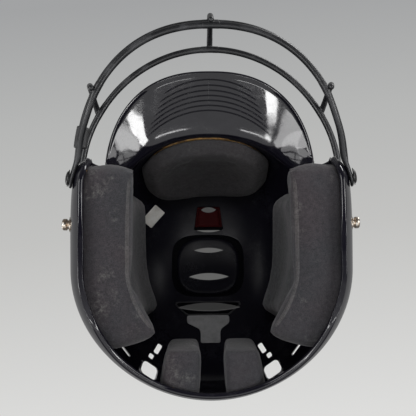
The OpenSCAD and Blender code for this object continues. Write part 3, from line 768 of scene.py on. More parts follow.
def label_vinyl(name, colour, dirty, roughness):
    """Label stock with faint creases and a little grime in patches."""
    material, tree, shader, at = start_material(name, colour, roughness)
    grime = ramp(tree, noise(tree, at, 0.12, 5, 0.65), [(0.4, 0.0), (0.75, 1.0)])
    grain = noise(tree, at, 2.5, 2)
    share = math_node(tree, "ADD", math_node(tree, "MULTIPLY", grime, 0.8),
                      math_node(tree, "MULTIPLY", grain, 0.15))
    crease = noise(tree, stretch(tree, at, (0.25, 0.06, 0.2)), 1.0, 4)
    fill_sockets(tree, shader, {
        "Base Color": blend_colours(tree, share, colour, dirty),
        "Normal": bump(tree, grain, 0.12, 0.05, bump(tree, crease, 0.5, 0.5))})
    return material


label_edge = [(0, 0.15), (0, 0.55), (-0.12, 0.62), (0.85, 0.62), (0.6, 0.62), (0.3, 0.62)]
turn_cos, turn_sin = cos_deg(size_label_turn), sin_deg(size_label_turn)
size_label_corners = np.array([(x * turn_cos - y * turn_sin, x * turn_sin + y * turn_cos)
                               for x, y in rounded_box(*size_label_size, 0.9)]) + size_label_place
white_vinyl = label_vinyl("label_white", (0.86, 0.85, 0.82), (0.62, 0.59, 0.53), 0.45)
grey_vinyl = label_vinyl("label_grey", (0.26, 0.26, 0.265), (0.15, 0.15, 0.155), 0.5)
for name, corners, stock, slot, node in (
        ("temple_label", size_label_corners, white_vinyl, "white_label", "size_label"),
        ("nape_label", rounded_corners(inner_label_corners, 2.2), grey_vinyl, "grey_label", "inner_label")):
    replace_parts(add_piece(name, *dome_plate(finer(corners, 1.2), label_edge), stock, slot), node)

# Seven pads of soft foam under charcoal knit are glued into the shell: one at the forehead,
# a thick one in each flap, one above each ear and two beside the nape. Each is crowned with
# rounded edges, and a folded hem runs along the inner edge of the two in the flaps.
pad_gap = wall + 0.5
ear_room_r = 25
ear_room_z = ear_hole_z + 8
pads = {
    "jaw": {"around": 88.8, "z": (7, 86), "length": 151, "thick": 40, "aim": (4, 0.6, 0), "square": 7,
            "top_thin": 0.14, "lap": 0.025},
    "side": {"around": 89, "z": (97, 182), "length": 128, "thick": 24, "square": 6, "lean": 0.25, "sink": 9},
    "rear": {"around": 164.6, "z": (20, 88), "length": 34, "aim": (0, 1, 0), "face": 63.5, "square": 7},
    "forehead": {"around": -2.4, "z": (130, 184), "length": 140, "thick": 16, "square": 4, "bow": 15},
}
pad_profile = [(0.3, 0), (0.6, 0), (0.8, 0), (0.93, 0), (0.985, 0.0), (0.995, 0.1), (1, 0.25), (1, 0.42),
               (1, 0.58), (0.997, 0.72), (0.99, 0.83), (0.972, 0.92), (0.94, 0.975), (0.89, 1.0),
               (0.8, 1.015), (0.6, 1.03), (0.35, 1.04)]
pad_sides = 140
glue_reach = 2.2
cloth_steps = 20
foam_pressure = 4


def pad_place(pad, a, b, depth=0.0):
    """The place on the shell behind a point of a pad's outline, at that share of its thickness."""
    low, high = down_of(pad["z"][0]), down_of(pad["z"][1])
    top = high - pad.get("bow", 0) * (1 - a * a) + pad.get("sink", 0) * np.minimum(a, 0) ** 2
    z = z_of(mix(low, top, (b + 1) / 2))
    wide = np.where(a < 0, a * (1 + pad.get("lap", 0) * ease(depth / 0.15)), a)
    return pad["around"] + np.degrees(wide * pad["length"] / 2 / plan_r(pad["around"], z)), down_of(z)


def pad_point(pad, a, b, depth):
    """A point of a pad. One with an aim grows level that way, and one with a face ends in a plane."""
    around, down = pad_place(pad, a, b, depth)
    start = off_skin(around, down, -pad_gap)
    way = skin_normal(around, down)
    if "aim" in pad:
        way = unit(unit(way * (1, 1, 0)) + np.array(pad["aim"]))
    if "face" in pad:
        thick = (start[..., 1] - pad["face"]) / way[..., 1]
    else:
        thick = pad["thick"] * (1 + pad.get("lean", 0) * a) * (1 - pad.get("top_thin", 0) * ease(b))
    return start - way * (thick * depth)[..., None]


def pad_rim(pad, angle):
    """A pad's outline at angles round it, as shares of its length and height."""
    r = oval(angle, 1, 1, pad["square"])
    return r * cos_deg(angle), r * sin_deg(angle)


def pad_body(pad):
    a, b = pad_rim(pad, (np.arange(pad_sides) + 0.5) * 360 / pad_sides)
    centre = pad_point(pad, 0.0, 0.0, 0), pad_point(pad, 0.0, 0.0, 1.045)
    return closed_body([pad_point(pad, a * share, b * share, depth) for share, depth in pad_profile], *centre)


def points_of(thing):
    points = np.zeros(len(thing.data.vertices) * 3)
    thing.data.vertices.foreach_get("co", points)
    return points.reshape(-1, 3)


def ear_room():
    """A round plug along the ear's axis, as it is cut out of the pads."""
    origin, side, up, out = on_shell(ear_around, down_of(ear_room_z))
    ring = np.array([origin + side * x + up * y for x, y in circle(ear_room_r, 64)])
    return make_object("ear_room", *capped_body([ring + out * 30, ring - out * 80]))


def even_mesh(piece, voxel):
    """Meshes a piece anew with even quads of that size."""
    remesh = piece.modifiers.new("even_mesh", "REMESH")
    remesh.mode = "VOXEL"
    remesh.voxel_size = voxel / 1000


def plump(pad, swell):
    """Swells a pad with the cloth solver, held where it is glued to the shell, by at most swell."""
    start = points_of(pad)
    glued = pad.vertex_groups.new(name="glued")
    for k, point in enumerate(start * 1000 - (0, head_shift_y, 0)):
        if whole_shell.find_nearest(Vector(point))[3] < glue_reach:
            glued.add([k], 1.0, "REPLACE")
    cloth = pad.modifiers.new("foam", "CLOTH")
    cloth.settings.use_pressure = True
    cloth.settings.uniform_pressure_force = foam_pressure
    cloth.settings.vertex_group_mass = "glued"
    cloth.settings.effector_weights.gravity = 0
    cloth.settings.quality = 4
    cloth.collision_settings.use_collision = False
    scene = bpy.context.scene
    for step in range(1, cloth_steps + 1):
        scene.frame_set(step)
    settle(pad)
    scene.frame_set(1)
    moved = points_of(pad) - start
    length = np.linalg.norm(moved, axis=1, keepdims=True)
    moved *= np.minimum(1, swell / 1000 / np.maximum(length, 1e-9))
    pad.data.vertices.foreach_set("co", (start + moved).ravel())
    finer_mesh = pad.modifiers.new("smooth", "SUBSURF")
    finer_mesh.levels = finer_mesh.render_levels = 1
    settle(pad)


def charcoal_knit(name, colour, rosy, worn, worn_amount):
    """A brushed knit: fine loops, a soft nap, uneven dye and pale rubbed patches."""
    material, tree, shader, at = start_material(name, colour, 0.95)
    cloud = noise(tree, at, 0.022, 4, 0.55)
    mottle = noise(tree, at, 0.35, 4, 0.7)
    dye = blend_colours(tree, ramp(tree, cloud, [(0.38, 0.0), (0.66, 1.0)]), colour, rosy)
    rub = math_node(tree, "MULTIPLY", ramp(tree, noise(tree, at, 0.05, 5, 0.62), [(0.55, 0.0), (0.7, 1.0)]),
                    ramp(tree, mottle, [(0.42, 0.0), (0.62, 1.0)]))
    rubbed = blend_colours(tree, math_node(tree, "MULTIPLY", rub, worn_amount), dye, worn)
    nap = blend_colours(tree, 1.0, rubbed, ramp(tree, mottle, [(0.3, 0.78), (0.7, 1.25)]), "MULTIPLY")
    fleck = ramp(tree, noise(tree, at, 1.6, 3, 0.7), [(0.32, 0.6), (0.68, 1.4)])
    loops = add_node(tree, "TexVoronoi", {"Vector": stretch(tree, at, (1, 1, 0.7)), "Scale": 1.5})
    fuzz = bump(tree, loops.outputs["Distance"], 0.6, 0.3)
    fill_sockets(tree, shader, {
        "Base Color": blend_colours(tree, 1.0, nap, fleck, "MULTIPLY"),
        "Sheen Weight": 0.15,
        "Sheen Roughness": 0.5,
        "Specular IOR Level": 0.15,
        "Normal": bump(tree, noise(tree, at, 0.16, 4, 0.6), 0.5, 1.2, fuzz)})
    return material


jaw_knit = charcoal_knit("knit_jaw", (0.034, 0.034, 0.038), (0.041, 0.036, 0.040),
                         (0.12, 0.115, 0.11), 0.6)
# The side pads have the same charcoal knit as the jaw pads, made about twice as light: painted light, for the
# shade that the jaw pads and the shell put on them.
side_knit_painted_lighter = charcoal_knit("knit_side_painted_lighter", (0.070, 0.071, 0.075), (0.078, 0.073, 0.078),
                          (0.11, 0.105, 0.10), 0.4)
brow_knit = charcoal_knit("knit_brow", (0.036, 0.035, 0.037), (0.042, 0.038, 0.040),
                          (0.09, 0.086, 0.082), 0.3)
hem_knit = charcoal_knit("knit_hem", (0.065, 0.063, 0.065), (0.074, 0.067, 0.068),
                         (0.14, 0.135, 0.13), 0.4)
hem_rolls = [(0.91, 3.0, 0.7), (0.985, 3.0, 0.7)]
hem_ends = (-0.86, 0.9)
hem_edge = -0.985


def hem(cushion, pad):
    """The folded hem along a jaw pad's inner edge, as two rolls with a seam between them."""
    surface = BVHTree.FromObject(cushion, bpy.context.evaluated_depsgraph_get())
    count = 90
    a = np.linspace(*hem_ends, count)
    b = np.full(count, hem_edge)
    narrow = 0.35 + 0.65 * np.sin(np.pi * np.linspace(0.08, 0.92, count))
    rolls = []
    for depth, width, height in hem_rolls:
        hits = [surface.find_nearest(Vector(p)) for p in to_frame(pad_point(pad, a, b, depth))]
        line = np.array([hit[0] for hit in hits]) * 1000 - (0, head_shift_y, 0)
        out = np.array([hit[1] for hit in hits])
        for _ in range(6):
            line[1:-1] = (line[:-2] + 2 * line[1:-1] + line[2:]) / 4
            out[1:-1] = (out[:-2] + 2 * out[1:-1] + out[2:]) / 4
        rolls.append(raised_line(line, unit(out), width * narrow, height, 8))
    return joined(rolls)


def mirrored(body):
    points, faces = body
    return points * (-1, 1, 1), inside_out(faces)


def sewn_pad(name, pad, voxel, swell, opened):
    cushion = make_object(name, *pad_body(pad))
    if opened:
        cut_out(cushion, ear_room())
    even_mesh(cushion, voxel)
    settle(cushion)
    plump(cushion, swell)
    for vertex_group in list(cushion.vertex_groups):
        cushion.vertex_groups.remove(vertex_group)
    return cushion


def mirrored_copy(piece, name):
    copy = bpy.data.objects.new(name, piece.data.copy())
    copy.data.transform(Matrix.Scale(-1, 4, (1, 0, 0)))
    copy.data.flip_normals()
    bpy.context.scene.collection.objects.link(copy)
    return copy


def fit_pad(piece, material, node):
    dress(piece, material)
    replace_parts(piece, node)


fit_pad(sewn_pad("forehead_cushion", pads["forehead"], 2.4, 1.6, False), brow_knit, "forehead_pad")
for kind, material, voxel, swell in (("jaw", jaw_knit, 3.2, 2.2), ("side", side_knit_painted_lighter, 2.8, 1.6),
                                     ("rear", jaw_knit, 2.2, 1.4)):
    right = sewn_pad(f"right_{kind}_cushion", pads[kind], voxel, swell, kind != "rear")
    fit_pad(right, material, f"right_{kind}_pad")
    fit_pad(mirrored_copy(right, f"left_{kind}_cushion"), material, f"left_{kind}_pad")
    if kind == "jaw":
        right_hem = hem(right, pads[kind])
        add_piece("right_jaw_hem", *right_hem, hem_knit, "pad_foam")
        add_piece("left_jaw_hem", *mirrored(right_hem), hem_knit, "pad_foam")

# The pads are stuck down with amber contact glue. It lies as a thin coat under each pad, a
# little in from its edge, and has squeezed out in beads at a few places.
glue_zones = {
    "jaw": {"around": 91.8, "z": (9, 40.5), "length": 117, "square": 7},
    "side": {"around": 89, "z": (110, 167), "length": 118, "square": 6},
    "rear": {"around": 164.6, "z": (21, 85), "length": 30, "square": 7},
    "forehead": {"around": -2.4, "z": (131.5, 180), "length": 126, "square": 4, "bow": 15},
}
glue_beads = [("forehead", 1, 237, 291, 1.7), ("jaw", -1, 214, 226, 1.6), ("jaw", 1, 237, 246, 1.6),
              ("rear", -1, 228, 316, 1.8), ("rear", 1, 290, 308, 1.2)]


def amber_glue():
    """Dried contact glue: yellow to brown where thick, glossy in places."""
    material, tree, shader, at = start_material("amber_glue", (0.36, 0.21, 0.05), 0.38)
    thick = noise(tree, at, 0.28, 4, 0.6)
    fill_sockets(tree, shader, {
        "Base Color": ramp(tree, thick, [(0.3, (0.34, 0.2, 0.045)), (0.52, (0.2, 0.1, 0.02)),
                                         (0.75, (0.07, 0.04, 0.015))]),
        "Roughness": ramp(tree, thick, [(0.3, 0.25), (0.8, 0.6)]),
        "Subsurface Weight": 0.15,
        "Subsurface Radius": (0.002, 0.001, 0.0004),
        "Normal": bump(tree, thick, 0.6, 0.4)})
    return material


glue_look = amber_glue()


def glue_coat(zone):
    """A thin coat of glue on the shell's inside, with an uneven edge."""
    angle = np.arange(120) * 3 + 1.5
    a, b = pad_rim(zone, angle)
    size = 0.985 + 0.008 * sum(np.sin(np.radians(angle) * k + k * k) / k for k in (3, 5, 8, 13))
    rows = [off_skin(*pad_place(zone, a * size * share, b * size * share), -wall - height)
            for share, height in ((0.3, 0.1), (0.7, 0.1), (1, 0.1), (1.003, 0.25), (0.99, 0.45), (0.7, 0.45),
                                  (0.3, 0.45))]
    centre = pad_place(zone, 0.0, 0.0)
    return closed_body(rows, off_skin(*centre, -wall - 0.1), off_skin(*centre, -wall - 0.45))


def glue_bead(pad, start, end, width, random):
    """Glue squeezed out along a pad's edge, from one angle of its outline to another."""
    count = 60
    around, down = pad_place(pad, *pad_rim(pad, np.linspace(start, end, count)))
    wave = sum(np.sin(np.linspace(0, k, count) + random.uniform(0, 6.3)) / 2 for k in (9, 17, 31))
    lumps = np.clip(0.75 + 0.45 * wave, 0.15, 1.3)
    return raised_line(off_skin(around, down, -wall), -skin_normal(around, down),
                       width * lumps, 0.8 * lumps, 6)


for kind, zone in glue_zones.items():
    coat = glue_coat(zone)
    bodies = [coat] if kind == "forehead" else [coat, mirrored(coat)]
    random = np.random.default_rng(len(kind))
    for name, sign, start, end, width in glue_beads:
        if name == kind:
            bead = glue_bead(pads[kind], start, end, width, random)
            bodies.append(bead if sign > 0 else mirrored(bead))
    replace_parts(add_piece(f"{kind}_glue_coat", *joined(bodies), glue_look, "glue"), f"{kind}_glue")

# The face guard is welded from round steel wire and dipped in black vinyl. Three bars cross
# the face. Their ends are pressed flat, turn round the screws and lie on the flaps.
bar_d = 5.3
upright_d = 4.6
guard_root_y = 72
pressed_t = 3
pressed_spread = 0.25
wire_gap = 0.3
chin_z, middle_z, upper_z = 6, 36, 70
chin_bar = (flap_half_w - 12.5, 188.5, 2.27)
middle_bar = (flap_half_w - 7, 197, 2.25)
upper_bar = (flap_half_w - 6, 182.5, 1.99)
screw_r = 2.1
bar_off = pressed_t / 2 + wire_gap
turn_r = bar_d / 2 + screw_r + wire_gap


def arch_point(bar, angle, z, out=0.0):
    r = oval(angle, bar[0] + out, bar[1] - guard_root_y + out, bar[2])
    return [float(r * sin_deg(angle)), float(-guard_root_y - r * cos_deg(angle)), float(z), 1.0]


def turn_point(z, angle, forward=0.0):
    around = screw_around + np.degrees((turn_r * cos_deg(angle) - forward) / plan_r(screw_around, z))
    return [*off_skin(around, down_of(z + turn_r * sin_deg(angle)), bar_off), pressed_t / bar_d]


def even_line(points, spacing, soften):
    """The smooth line through the points, evenly spaced, with its unevenness taken out."""
    dense = smooth_line(points, 12)
    along = np.concatenate([[0], np.cumsum(np.linalg.norm(np.diff(dense[:, :3], axis=0), axis=1))])
    count = int(along[-1] / spacing)
    spots = np.linspace(0, along[-1], count)
    line = np.stack([np.interp(spots, along, dense[:, k]) for k in range(dense.shape[1])], -1)
    for _ in range(soften):
        line[1:-1] = (line[:-2] + 2 * line[1:-1] + line[2:]) / 4
    return line


def wire_frame(line):
    """For each point of a line: the ways along it, up and in."""
    way = unit(np.gradient(line[:, :3], axis=0))
    up = unit(np.cross(line[:, :3] * (1, 1, 0) + (0, guard_root_y, 0), way))
    return way, up, np.cross(up, way)


def wire_body(line, d, sides=20, round_ends=True):
    """A round wire along a line, pressed flat where the line's fourth value is below 1."""
    way, up, inward = wire_frame(line)
    flat = line[:, 3] if line.shape[1] > 3 else np.ones(len(line))
    angle = np.arange(sides) * 360 / sides
    rows = [line[k, :3] + np.outer(cos_deg(angle), up[k]) * d / 2 * (1 + pressed_spread * (1 - flat[k]))
            + np.outer(sin_deg(angle), inward[k]) * d / 2 * flat[k] for k in range(len(line))]
    if round_ends:
        for end, sign in ((0, -1), (-1, 1)):
            rim, middle = rows[end], line[end, :3]
            cap = [middle + (rim - middle) * cos_deg(turn)
                   + way[end] * sign * d / 2 * flat[end] * sin_deg(turn) for turn in (25, 50, 72)]
            rows = rows + cap if end else cap[::-1] + rows
    return closed_body(rows, rows[0].mean(0), rows[-1].mean(0))


def mirrored_path(path):
    return [[-p[0], *p[1:]] for p in path[:0:-1]] + path


bar_angles = range(0, 82, 9)
turn_angles = np.arange(-90, 91, 22.5)


def round_screw(z, tail):
    """A wire's way round a screw and on along the flap."""
    return ([turn_point(z, -90, 8)] + [turn_point(z, a) for a in turn_angles] + [turn_point(z, 90, tail)])


chin_rise = lower_screw_z - turn_r
chin_path = mirrored_path(
    [arch_point(chin_bar, a, mix(chin_z, chin_rise, ease((a - 52) / 38)), 3.2 * ease((a - 60) / 21))
     for a in bar_angles] + round_screw(lower_screw_z, 7))
middle_path = mirrored_path([arch_point(middle_bar, a, middle_z) for a in bar_angles]
                            + [turn_point(lower_screw_z, 90, 7)])
upper_path = mirrored_path(
    [arch_point(upper_bar, a, mix(upper_z, upper_z - turn_r, ease((a - 50) / 36))) for a in bar_angles]
    + round_screw(upper_z, 9))


def dipped_vinyl(name, colour, roughness):
    """A thick vinyl dip: a slightly wavy skin, dulled here and there by handling."""
    material, tree, shader, at = start_material(name, colour, roughness)
    handled = noise(tree, at, 0.06, 5, 0.6)
    dulled = ramp(tree, handled, [(0.5, 0.0), (0.75, 1.0)])
    fill_sockets(tree, shader, {
        "Base Color": blend_colours(tree, dulled, colour, (0.045, 0.046, 0.05)),
        "Roughness": ramp(tree, handled, [(0.35, roughness), (0.72, roughness + 0.2)]),
        "Normal": bump(tree, noise(tree, at, 0.12, 2), 0.15, 0.2)})
    return material


vinyl = dipped_vinyl("black_vinyl", (0.010, 0.0105, 0.012), 0.3)
for name, path in (("chin", chin_path), ("middle", middle_path), ("upper", upper_path)):
    bar = add_piece(f"{name}_bar", *wire_body(even_line(path, 1.5, 6), bar_d), vinyl, "coated_wire")
    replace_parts(bar, f"guard_{name}_bar")

# Three uprights of thinner wire are welded across the fronts of the bars, one in the middle
# and one on each side. The dip has run into the corners of each weld.
upright_sink = 0.6
upright_off = (bar_d + upright_d) / 2 - upright_sink
foot_z = 3.4
head_over = 6
weld_reach = 9
weld_voxel = 0.45
weld_skin = 0.16
upright_angles = {"centre": (0, 0, 0), "right": (53, 52.5, 57.5)}
welds = []
for hand in ("centre", "right", "left"):
    angles = upright_angles["right" if hand == "left" else hand]
    chin, middle, upper = [np.array(arch_point(bar, angle, z, upright_off)[:3]) for bar, angle, z in (
        (chin_bar, angles[0], chin_z), (middle_bar, angles[1], middle_z), (upper_bar, angles[2], upper_z))]
    foot = chin + (chin - middle) * (chin_z - foot_z) / (middle_z - chin_z)
    head = upper + (upper - middle) * head_over / (upper_z - middle_z)
    line = even_line([foot, chin, middle, upper, head], 1.5, 4)
    flip = np.array((-1, 1, 1) if hand == "left" else (1, 1, 1))
    piece = add_piece(f"{hand}_upright", *wire_body(line * flip, upright_d), vinyl, "coated_wire")
    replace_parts(piece, f"guard_{hand}_upright")
    for bar_line, spot in ((chin_path, chin), (middle_path, middle), (upper_path, upper)):
        welds.append((bar_line, line * flip, spot * flip))

bits = []
for bar_path, upright_line, spot in welds:
    for line, d in ((even_line(bar_path, 1.0, 6), bar_d), (even_line(upright_line, 1.0, 0), upright_d)):
        near = np.linalg.norm(line[:, :3] - spot, axis=1) < weld_reach
        bits.append(wire_body(line[near], d + 0.1, 16, round_ends=False))
weld_coat = make_object("weld_coat", *joined(bits))
even_mesh(weld_coat, weld_voxel)
run = weld_coat.modifiers.new("run", "SMOOTH")
run.factor = 0.5
run.iterations = 14
swell = weld_coat.modifiers.new("swell", "DISPLACE")
swell.strength = weld_skin / 1000
swell.mid_level = 0
settle(weld_coat)
dress(weld_coat, vinyl)

# A plain flat sleeve of soft black plastic is pushed over the left side of the middle bar.
# It is a little wider on its inner side, and lies close round the wire.
sleeve_angles = (67.5, 72, 76.5)
sleeve_t = 1.2
sleeve_fin = 2.5
sleeve_line = even_line([arch_point(middle_bar, a, middle_z) for a in sleeve_angles], 0.8, 0) * (-1, 1, 1, 1)
_, sleeve_up, sleeve_in = wire_frame(sleeve_line)
sleeve_sides = 28
sleeve_turn = np.arange(sleeve_sides) * 360 / sleeve_sides
bore = bar_d / 2 + 0.15
skin_r = bar_d / 2 + wire_gap + sleeve_t
last = len(sleeve_line) - 1
sleeve_rows = []
for k, share in [(0, 0), (0, 0.6)] + [(k, 1) for k in range(1, last)] + [(last, 0.6), (last, 0)]:
    r_up = mix(bore, skin_r, share)
    r_in = mix(bore, skin_r + sleeve_fin / 2, share)
    middle = sleeve_line[k, :3] + sleeve_in[k] * sleeve_fin / 2 * share
    sleeve_rows.append(middle + np.outer(cos_deg(sleeve_turn), sleeve_up[k]) * r_up
                       + np.outer(sin_deg(sleeve_turn), sleeve_in[k]) * r_in)
sleeve_points = np.concatenate(sleeve_rows)
sleeve_faces = [[v % len(sleeve_points) for v in face]
                for face in ring_faces(len(sleeve_rows) + 1, sleeve_sides)]
sleeve_black = dipped_vinyl("sleeve_black", (0.018, 0.018, 0.019), 0.55)
sleeve = add_piece("bar_sleeve", sleeve_points, sleeve_faces, sleeve_black, "sleeve_plastic")
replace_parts(sleeve, "guard_sleeve")

# Four black screws hold the guard, two on each flap. Each has a domed head with a cross
# recess and a washer that spans the wire's turn, and runs into a flanged nut inside.
washer_t = 0.6
screw_head_r = 5.6
wire_top = bar_off + pressed_t / 2 + wire_gap / 2


def lathe(profile, origin, side, up, out, sides=56):
    """A turned body from (radius, height) pairs, closed at both ends on its axis."""
    angle = np.arange(sides) * 360 / sides
    rows = [origin + np.outer(cos_deg(angle), side) * r + np.outer(sin_deg(angle), up) * r + out * h
            for r, h in profile]
    return closed_body(rows, origin + out * profile[0][1], origin + out * profile[-1][1])


def black_steel():
    """Black oxide on steel, with paler patches where it has been rubbed."""
    oxide = (0.018, 0.018, 0.019)
    material, tree, shader, at = start_material("screw_black", oxide, 0.32)
    rubbed = ramp(tree, noise(tree, at, 0.7, 4, 0.65), [(0.6, 0.0), (0.68, 0.6)])
    fill_sockets(tree, shader, {
        "Base Color": blend_colours(tree, rubbed, oxide, (0.16, 0.16, 0.155)),
        "Metallic": 0.35,
        "Roughness": ramp(tree, noise(tree, at, 0.4, 3), [(0.3, 0.26), (0.7, 0.46)]),
        "Normal": bump(tree, noise(tree, at, 2.5, 2), 0.12, 0.05)})
    return material


def driver_blade(origin, a, b, out, top):
    """One of the two tapered blades of the driver's cross, to cut from a head."""
    rings = []
    for h, length, width in ((top + 1, 2.9, 0.75), (top - 1.3, 1.1, 0.45)):
        corners = ((length, width), (-length, width), (-length, -width), (length, -width))
        rings.append(np.array([origin + a * x + b * y + out * h for x, y in corners]))
    return capped_body(rings)


head_z = wire_top + washer_t
screw_profile = [(0.6, -7.2), (screw_r - 0.2, -7.2), (screw_r, -6.9), (screw_r, head_z),
                 (screw_head_r - 0.25, head_z), (screw_head_r, head_z + 0.2),
                 (screw_head_r - 0.05, head_z + 0.5), (5.0, head_z + 1.0), (4.1, head_z + 1.45),
                 (2.9, head_z + 1.8), (1.5, head_z + 1.98), (0.4, head_z + 2.03)]
screw_bodies, blades = [], []
for sign in (1, -1):
    for z in (lower_screw_z, upper_z):
        origin, side, up, out = on_shell(sign * screw_around, down_of(z))
        turned = 20 + 31 * z + 17 * sign
        side = side * cos_deg(turned) + up * sin_deg(turned)
        up = np.cross(out, side)
        screw_bodies.append(lathe(screw_profile, origin, side, up, out))
        blades += [driver_blade(origin, a, b, out, head_z + 2.03) for a, b in ((side, up), (up, side))]
screw_steel = black_steel()
screws = add_piece("guard_screw_set", *joined(screw_bodies), screw_steel, "black_steel")
cut_out(screws, make_object("recess", *joined(blades)), self_crossing=True)
screws.data.set_sharp_from_angle(angle=math.radians(40))
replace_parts(screws, "guard_screws")


def finish_node(node, material):
    """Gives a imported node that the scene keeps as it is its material."""
    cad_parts[node].data.materials.clear()
    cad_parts[node].data.materials.append(material)


finish_node("guard_washers", screw_steel)

# A nickel-plated snap stud is riveted into each flap over a washer, for a chin strap's snap.
# The plate has worn through to brass in patches. The nuts inside are plated the same.
stud_r = 4.75
stud_seat = 1.3


def worn_nickel(name, brassy):
    """Nickel over brass, finely scratched by wear, with the brass showing in patches."""
    material, tree, shader, at = start_material(name, (0.56, 0.53, 0.48), 0.3)
    patch = noise(tree, at, 0.45, 5, 0.65)
    tarnish = math_node(tree, "MULTIPLY", ramp(tree, patch, [(0.4, 0.0), (0.62, 1.0)]), brassy)
    colour = blend_colours(tree, tarnish, (0.60, 0.57, 0.52), (0.42, 0.27, 0.15))
    spots = ramp(tree, noise(tree, at, 2.1, 3), [(0.62, 1.0), (0.75, 0.45)])
    fill_sockets(tree, shader, {
        "Base Color": blend_colours(tree, 1.0, colour, spots, "MULTIPLY"),
        "Metallic": 1.0,
        "Roughness": ramp(tree, patch, [(0.3, 0.2), (0.7, 0.46)]),
        "Normal": bump(tree, noise(tree, stretch(tree, at, (3, 0.4, 0.4)), 1.0, 2), 0.15, 0.04)})
    return material


stud_nickel = worn_nickel("stud_nickel", 0.75)
plain_nickel = worn_nickel("nut_nickel", 0.25)
stud_outline = [(0.6, -6.7), (2.05, -6.7), (2.05, 0), (4.6, 0), (4.75, 0.15), (4.7, 0.45), (4.3, 0.6),
                (3.75, 0.8), (3.6, 1.2), (3.6, 1.7), (3.8, 2.0), (4.3, 2.2), (4.68, 2.45), (stud_r, 2.8),
                (stud_r, 4.7), (4.66, 5.2), (4.35, 5.7), (3.8, 6.08), (3.2, 6.2), (2.5, 6.2), (2.15, 6.05),
                (1.95, 5.6), (1.2, 5.45), (0.4, 5.42)]
stud_profile = [(r, stud_seat + h) for r, h in stud_outline]
for sign, hand in ((1, "right"), (-1, "left")):
    stud = add_piece(f"{hand}_stud", *lathe(stud_profile, *on_shell(sign * stud_around, down_of(stud_z))),
                     stud_nickel, "nickel")
    stud.data.set_sharp_from_angle(angle=math.radians(50))
    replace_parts(stud, f"{hand}_snap_stud")
finish_node("snap_washers", stud_nickel)
finish_node("snap_nuts", plain_nickel)
finish_node("guard_tee_nuts", plain_nickel)

# The studio: a pale floor that is seen from above only, a paper backdrop that is seen from below
# only, and soft boxes above and below, because the photograph looks up into the helmet as it
# lies on its crown. Each soft box stands in a direction from the helmet or from a part of it.


def soft_box(name, spot, way, distance, size, radiance):
    """A soft box in a direction from a spot, facing it. Its size is across and then up."""
    out = Vector(way).normalized()
    across = (Vector((1, 0, 0)) - out * out.x).normalized()
    light = bpy.data.lights.new(name, "AREA")
    light.shape = "RECTANGLE"
    light.size, light.size_y = size
    light.energy = radiance * math.pi * size[0] * size[1]
    thing = bpy.data.objects.new(name, light)
    turn = Matrix((across, out.cross(across), out)).transposed().to_4x4()
    thing.matrix_world = Matrix.Translation(Vector(spot) + out * distance) @ turn
    bpy.context.scene.collection.objects.link(thing)
    return thing


helmet_middle = (0, 0, 0.1)
bill_left = (-0.063, -0.077, 0.112)
bill_right = (0.06, -0.09, 0.112)
brow_left = (-0.036, -0.073, 0.12)
brow_right = (0.04, -0.071, 0.12)
soft_box("key_above", helmet_middle, (0.62, -0.8, 0.42), 9.5, (4.5, 3.5), 8)
soft_box("fill_above", helmet_middle, (-0.9, 0.3, 0.38), 9.0, (5.0, 3.0), 5)
soft_box("patch_left", bill_left, (0.70, 0.12, -0.70), 1.3, (0.26, 0.13), 24)
soft_box("patch_right", bill_right, (-0.55, 0.22, -0.80), 1.3, (0.2, 0.08), 24)
soft_box("lobe_left", bill_left, (0.81, -0.06, -0.58), 1.4, (0.24, 0.42), 8)
soft_box("lobe_right", bill_right, (-0.75, 0.0, -0.66), 1.4, (0.26, 0.5), 8)
soft_box("side_left", bill_left, (0.87, -0.2, -0.45), 1.45, (0.4, 0.9), 3)
soft_box("side_right", bill_right, (-0.87, -0.2, -0.45), 1.45, (0.4, 0.9), 3)
soft_box("low_left", bill_left, (0.62, -0.32, -0.72), 1.5, (0.5, 0.5), 4).visible_diffuse = False
soft_box("low_right", bill_right, (-0.70, -0.35, -0.63), 1.5, (0.5, 0.5), 4).visible_diffuse = False
soft_box("brow_left", brow_left, (0.33, 0.28, -0.90), 1.5, (0.5, 0.05), 13)
soft_box("brow_right", brow_right, (-0.35, 0.27, -0.90), 1.5, (0.4, 0.05), 13)
soft_box("overhead", helmet_middle, (0.0, -0.45, -0.9), 1.6, (0.9, 0.5), 4.2).visible_glossy = False


def backdrop(name, material, shader, half, z, upward):
    """A square that the camera alone sees, and only its face: it takes no part in the light."""
    tree = material.node_tree
    seen_face = add_node(tree, "MixShader", {0: add_node(tree, "NewGeometry", {}).outputs["Backfacing"],
                                             1: shader.outputs[0],
                                             2: add_node(tree, "BsdfTransparent", {}).outputs[0]})
    tree.links.new(seen_face.outputs[0], tree.nodes["Material Output"].inputs["Surface"])
    corners = [(-half, -half, z), (half, -half, z), (half, half, z), (-half, half, z)]
    mesh = bpy.data.meshes.new(name)
    mesh.from_pydata(corners if upward else corners[::-1], [], [(0, 1, 2, 3)])
    mesh.materials.append(material)
    thing = bpy.data.objects.new(name, mesh)
    bpy.context.scene.collection.objects.link(thing)
    thing.visible_shadow = thing.visible_diffuse = thing.visible_glossy = False


floor_look, _, shader, _ = start_material("pale_floor", (0.62, 0.62, 0.62), 1.0)
shader.inputs["Specular IOR Level"].default_value = 0
backdrop("floor", floor_look, shader, 40, 0, True)

# The paper carries the shadows that the photograph shows round the crown, as seen through
# its slots. They are given by their distance from a point, in millimetres.
paper_z = 0.55
paper_half = 0.32
paper, tree, shader, at = start_material("seamless_paper", (0.6, 0.6, 0.6), 0.9)
tree.nodes.remove(shader)


def shade_spot(middle, wide, stops):
    offset = vector_math(tree, "SUBTRACT", {0: stretch(tree, at, (1, 1, 0)), 1: (*middle, 0)})
    away = vector_math(tree, "LENGTH", {0: stretch(tree, offset, (1 / wide, 1, 0))}, "Value")
    return ramp(tree, math_node(tree, "DIVIDE", away, 200),
                [(distance / 200, dark) for distance, dark in stops])
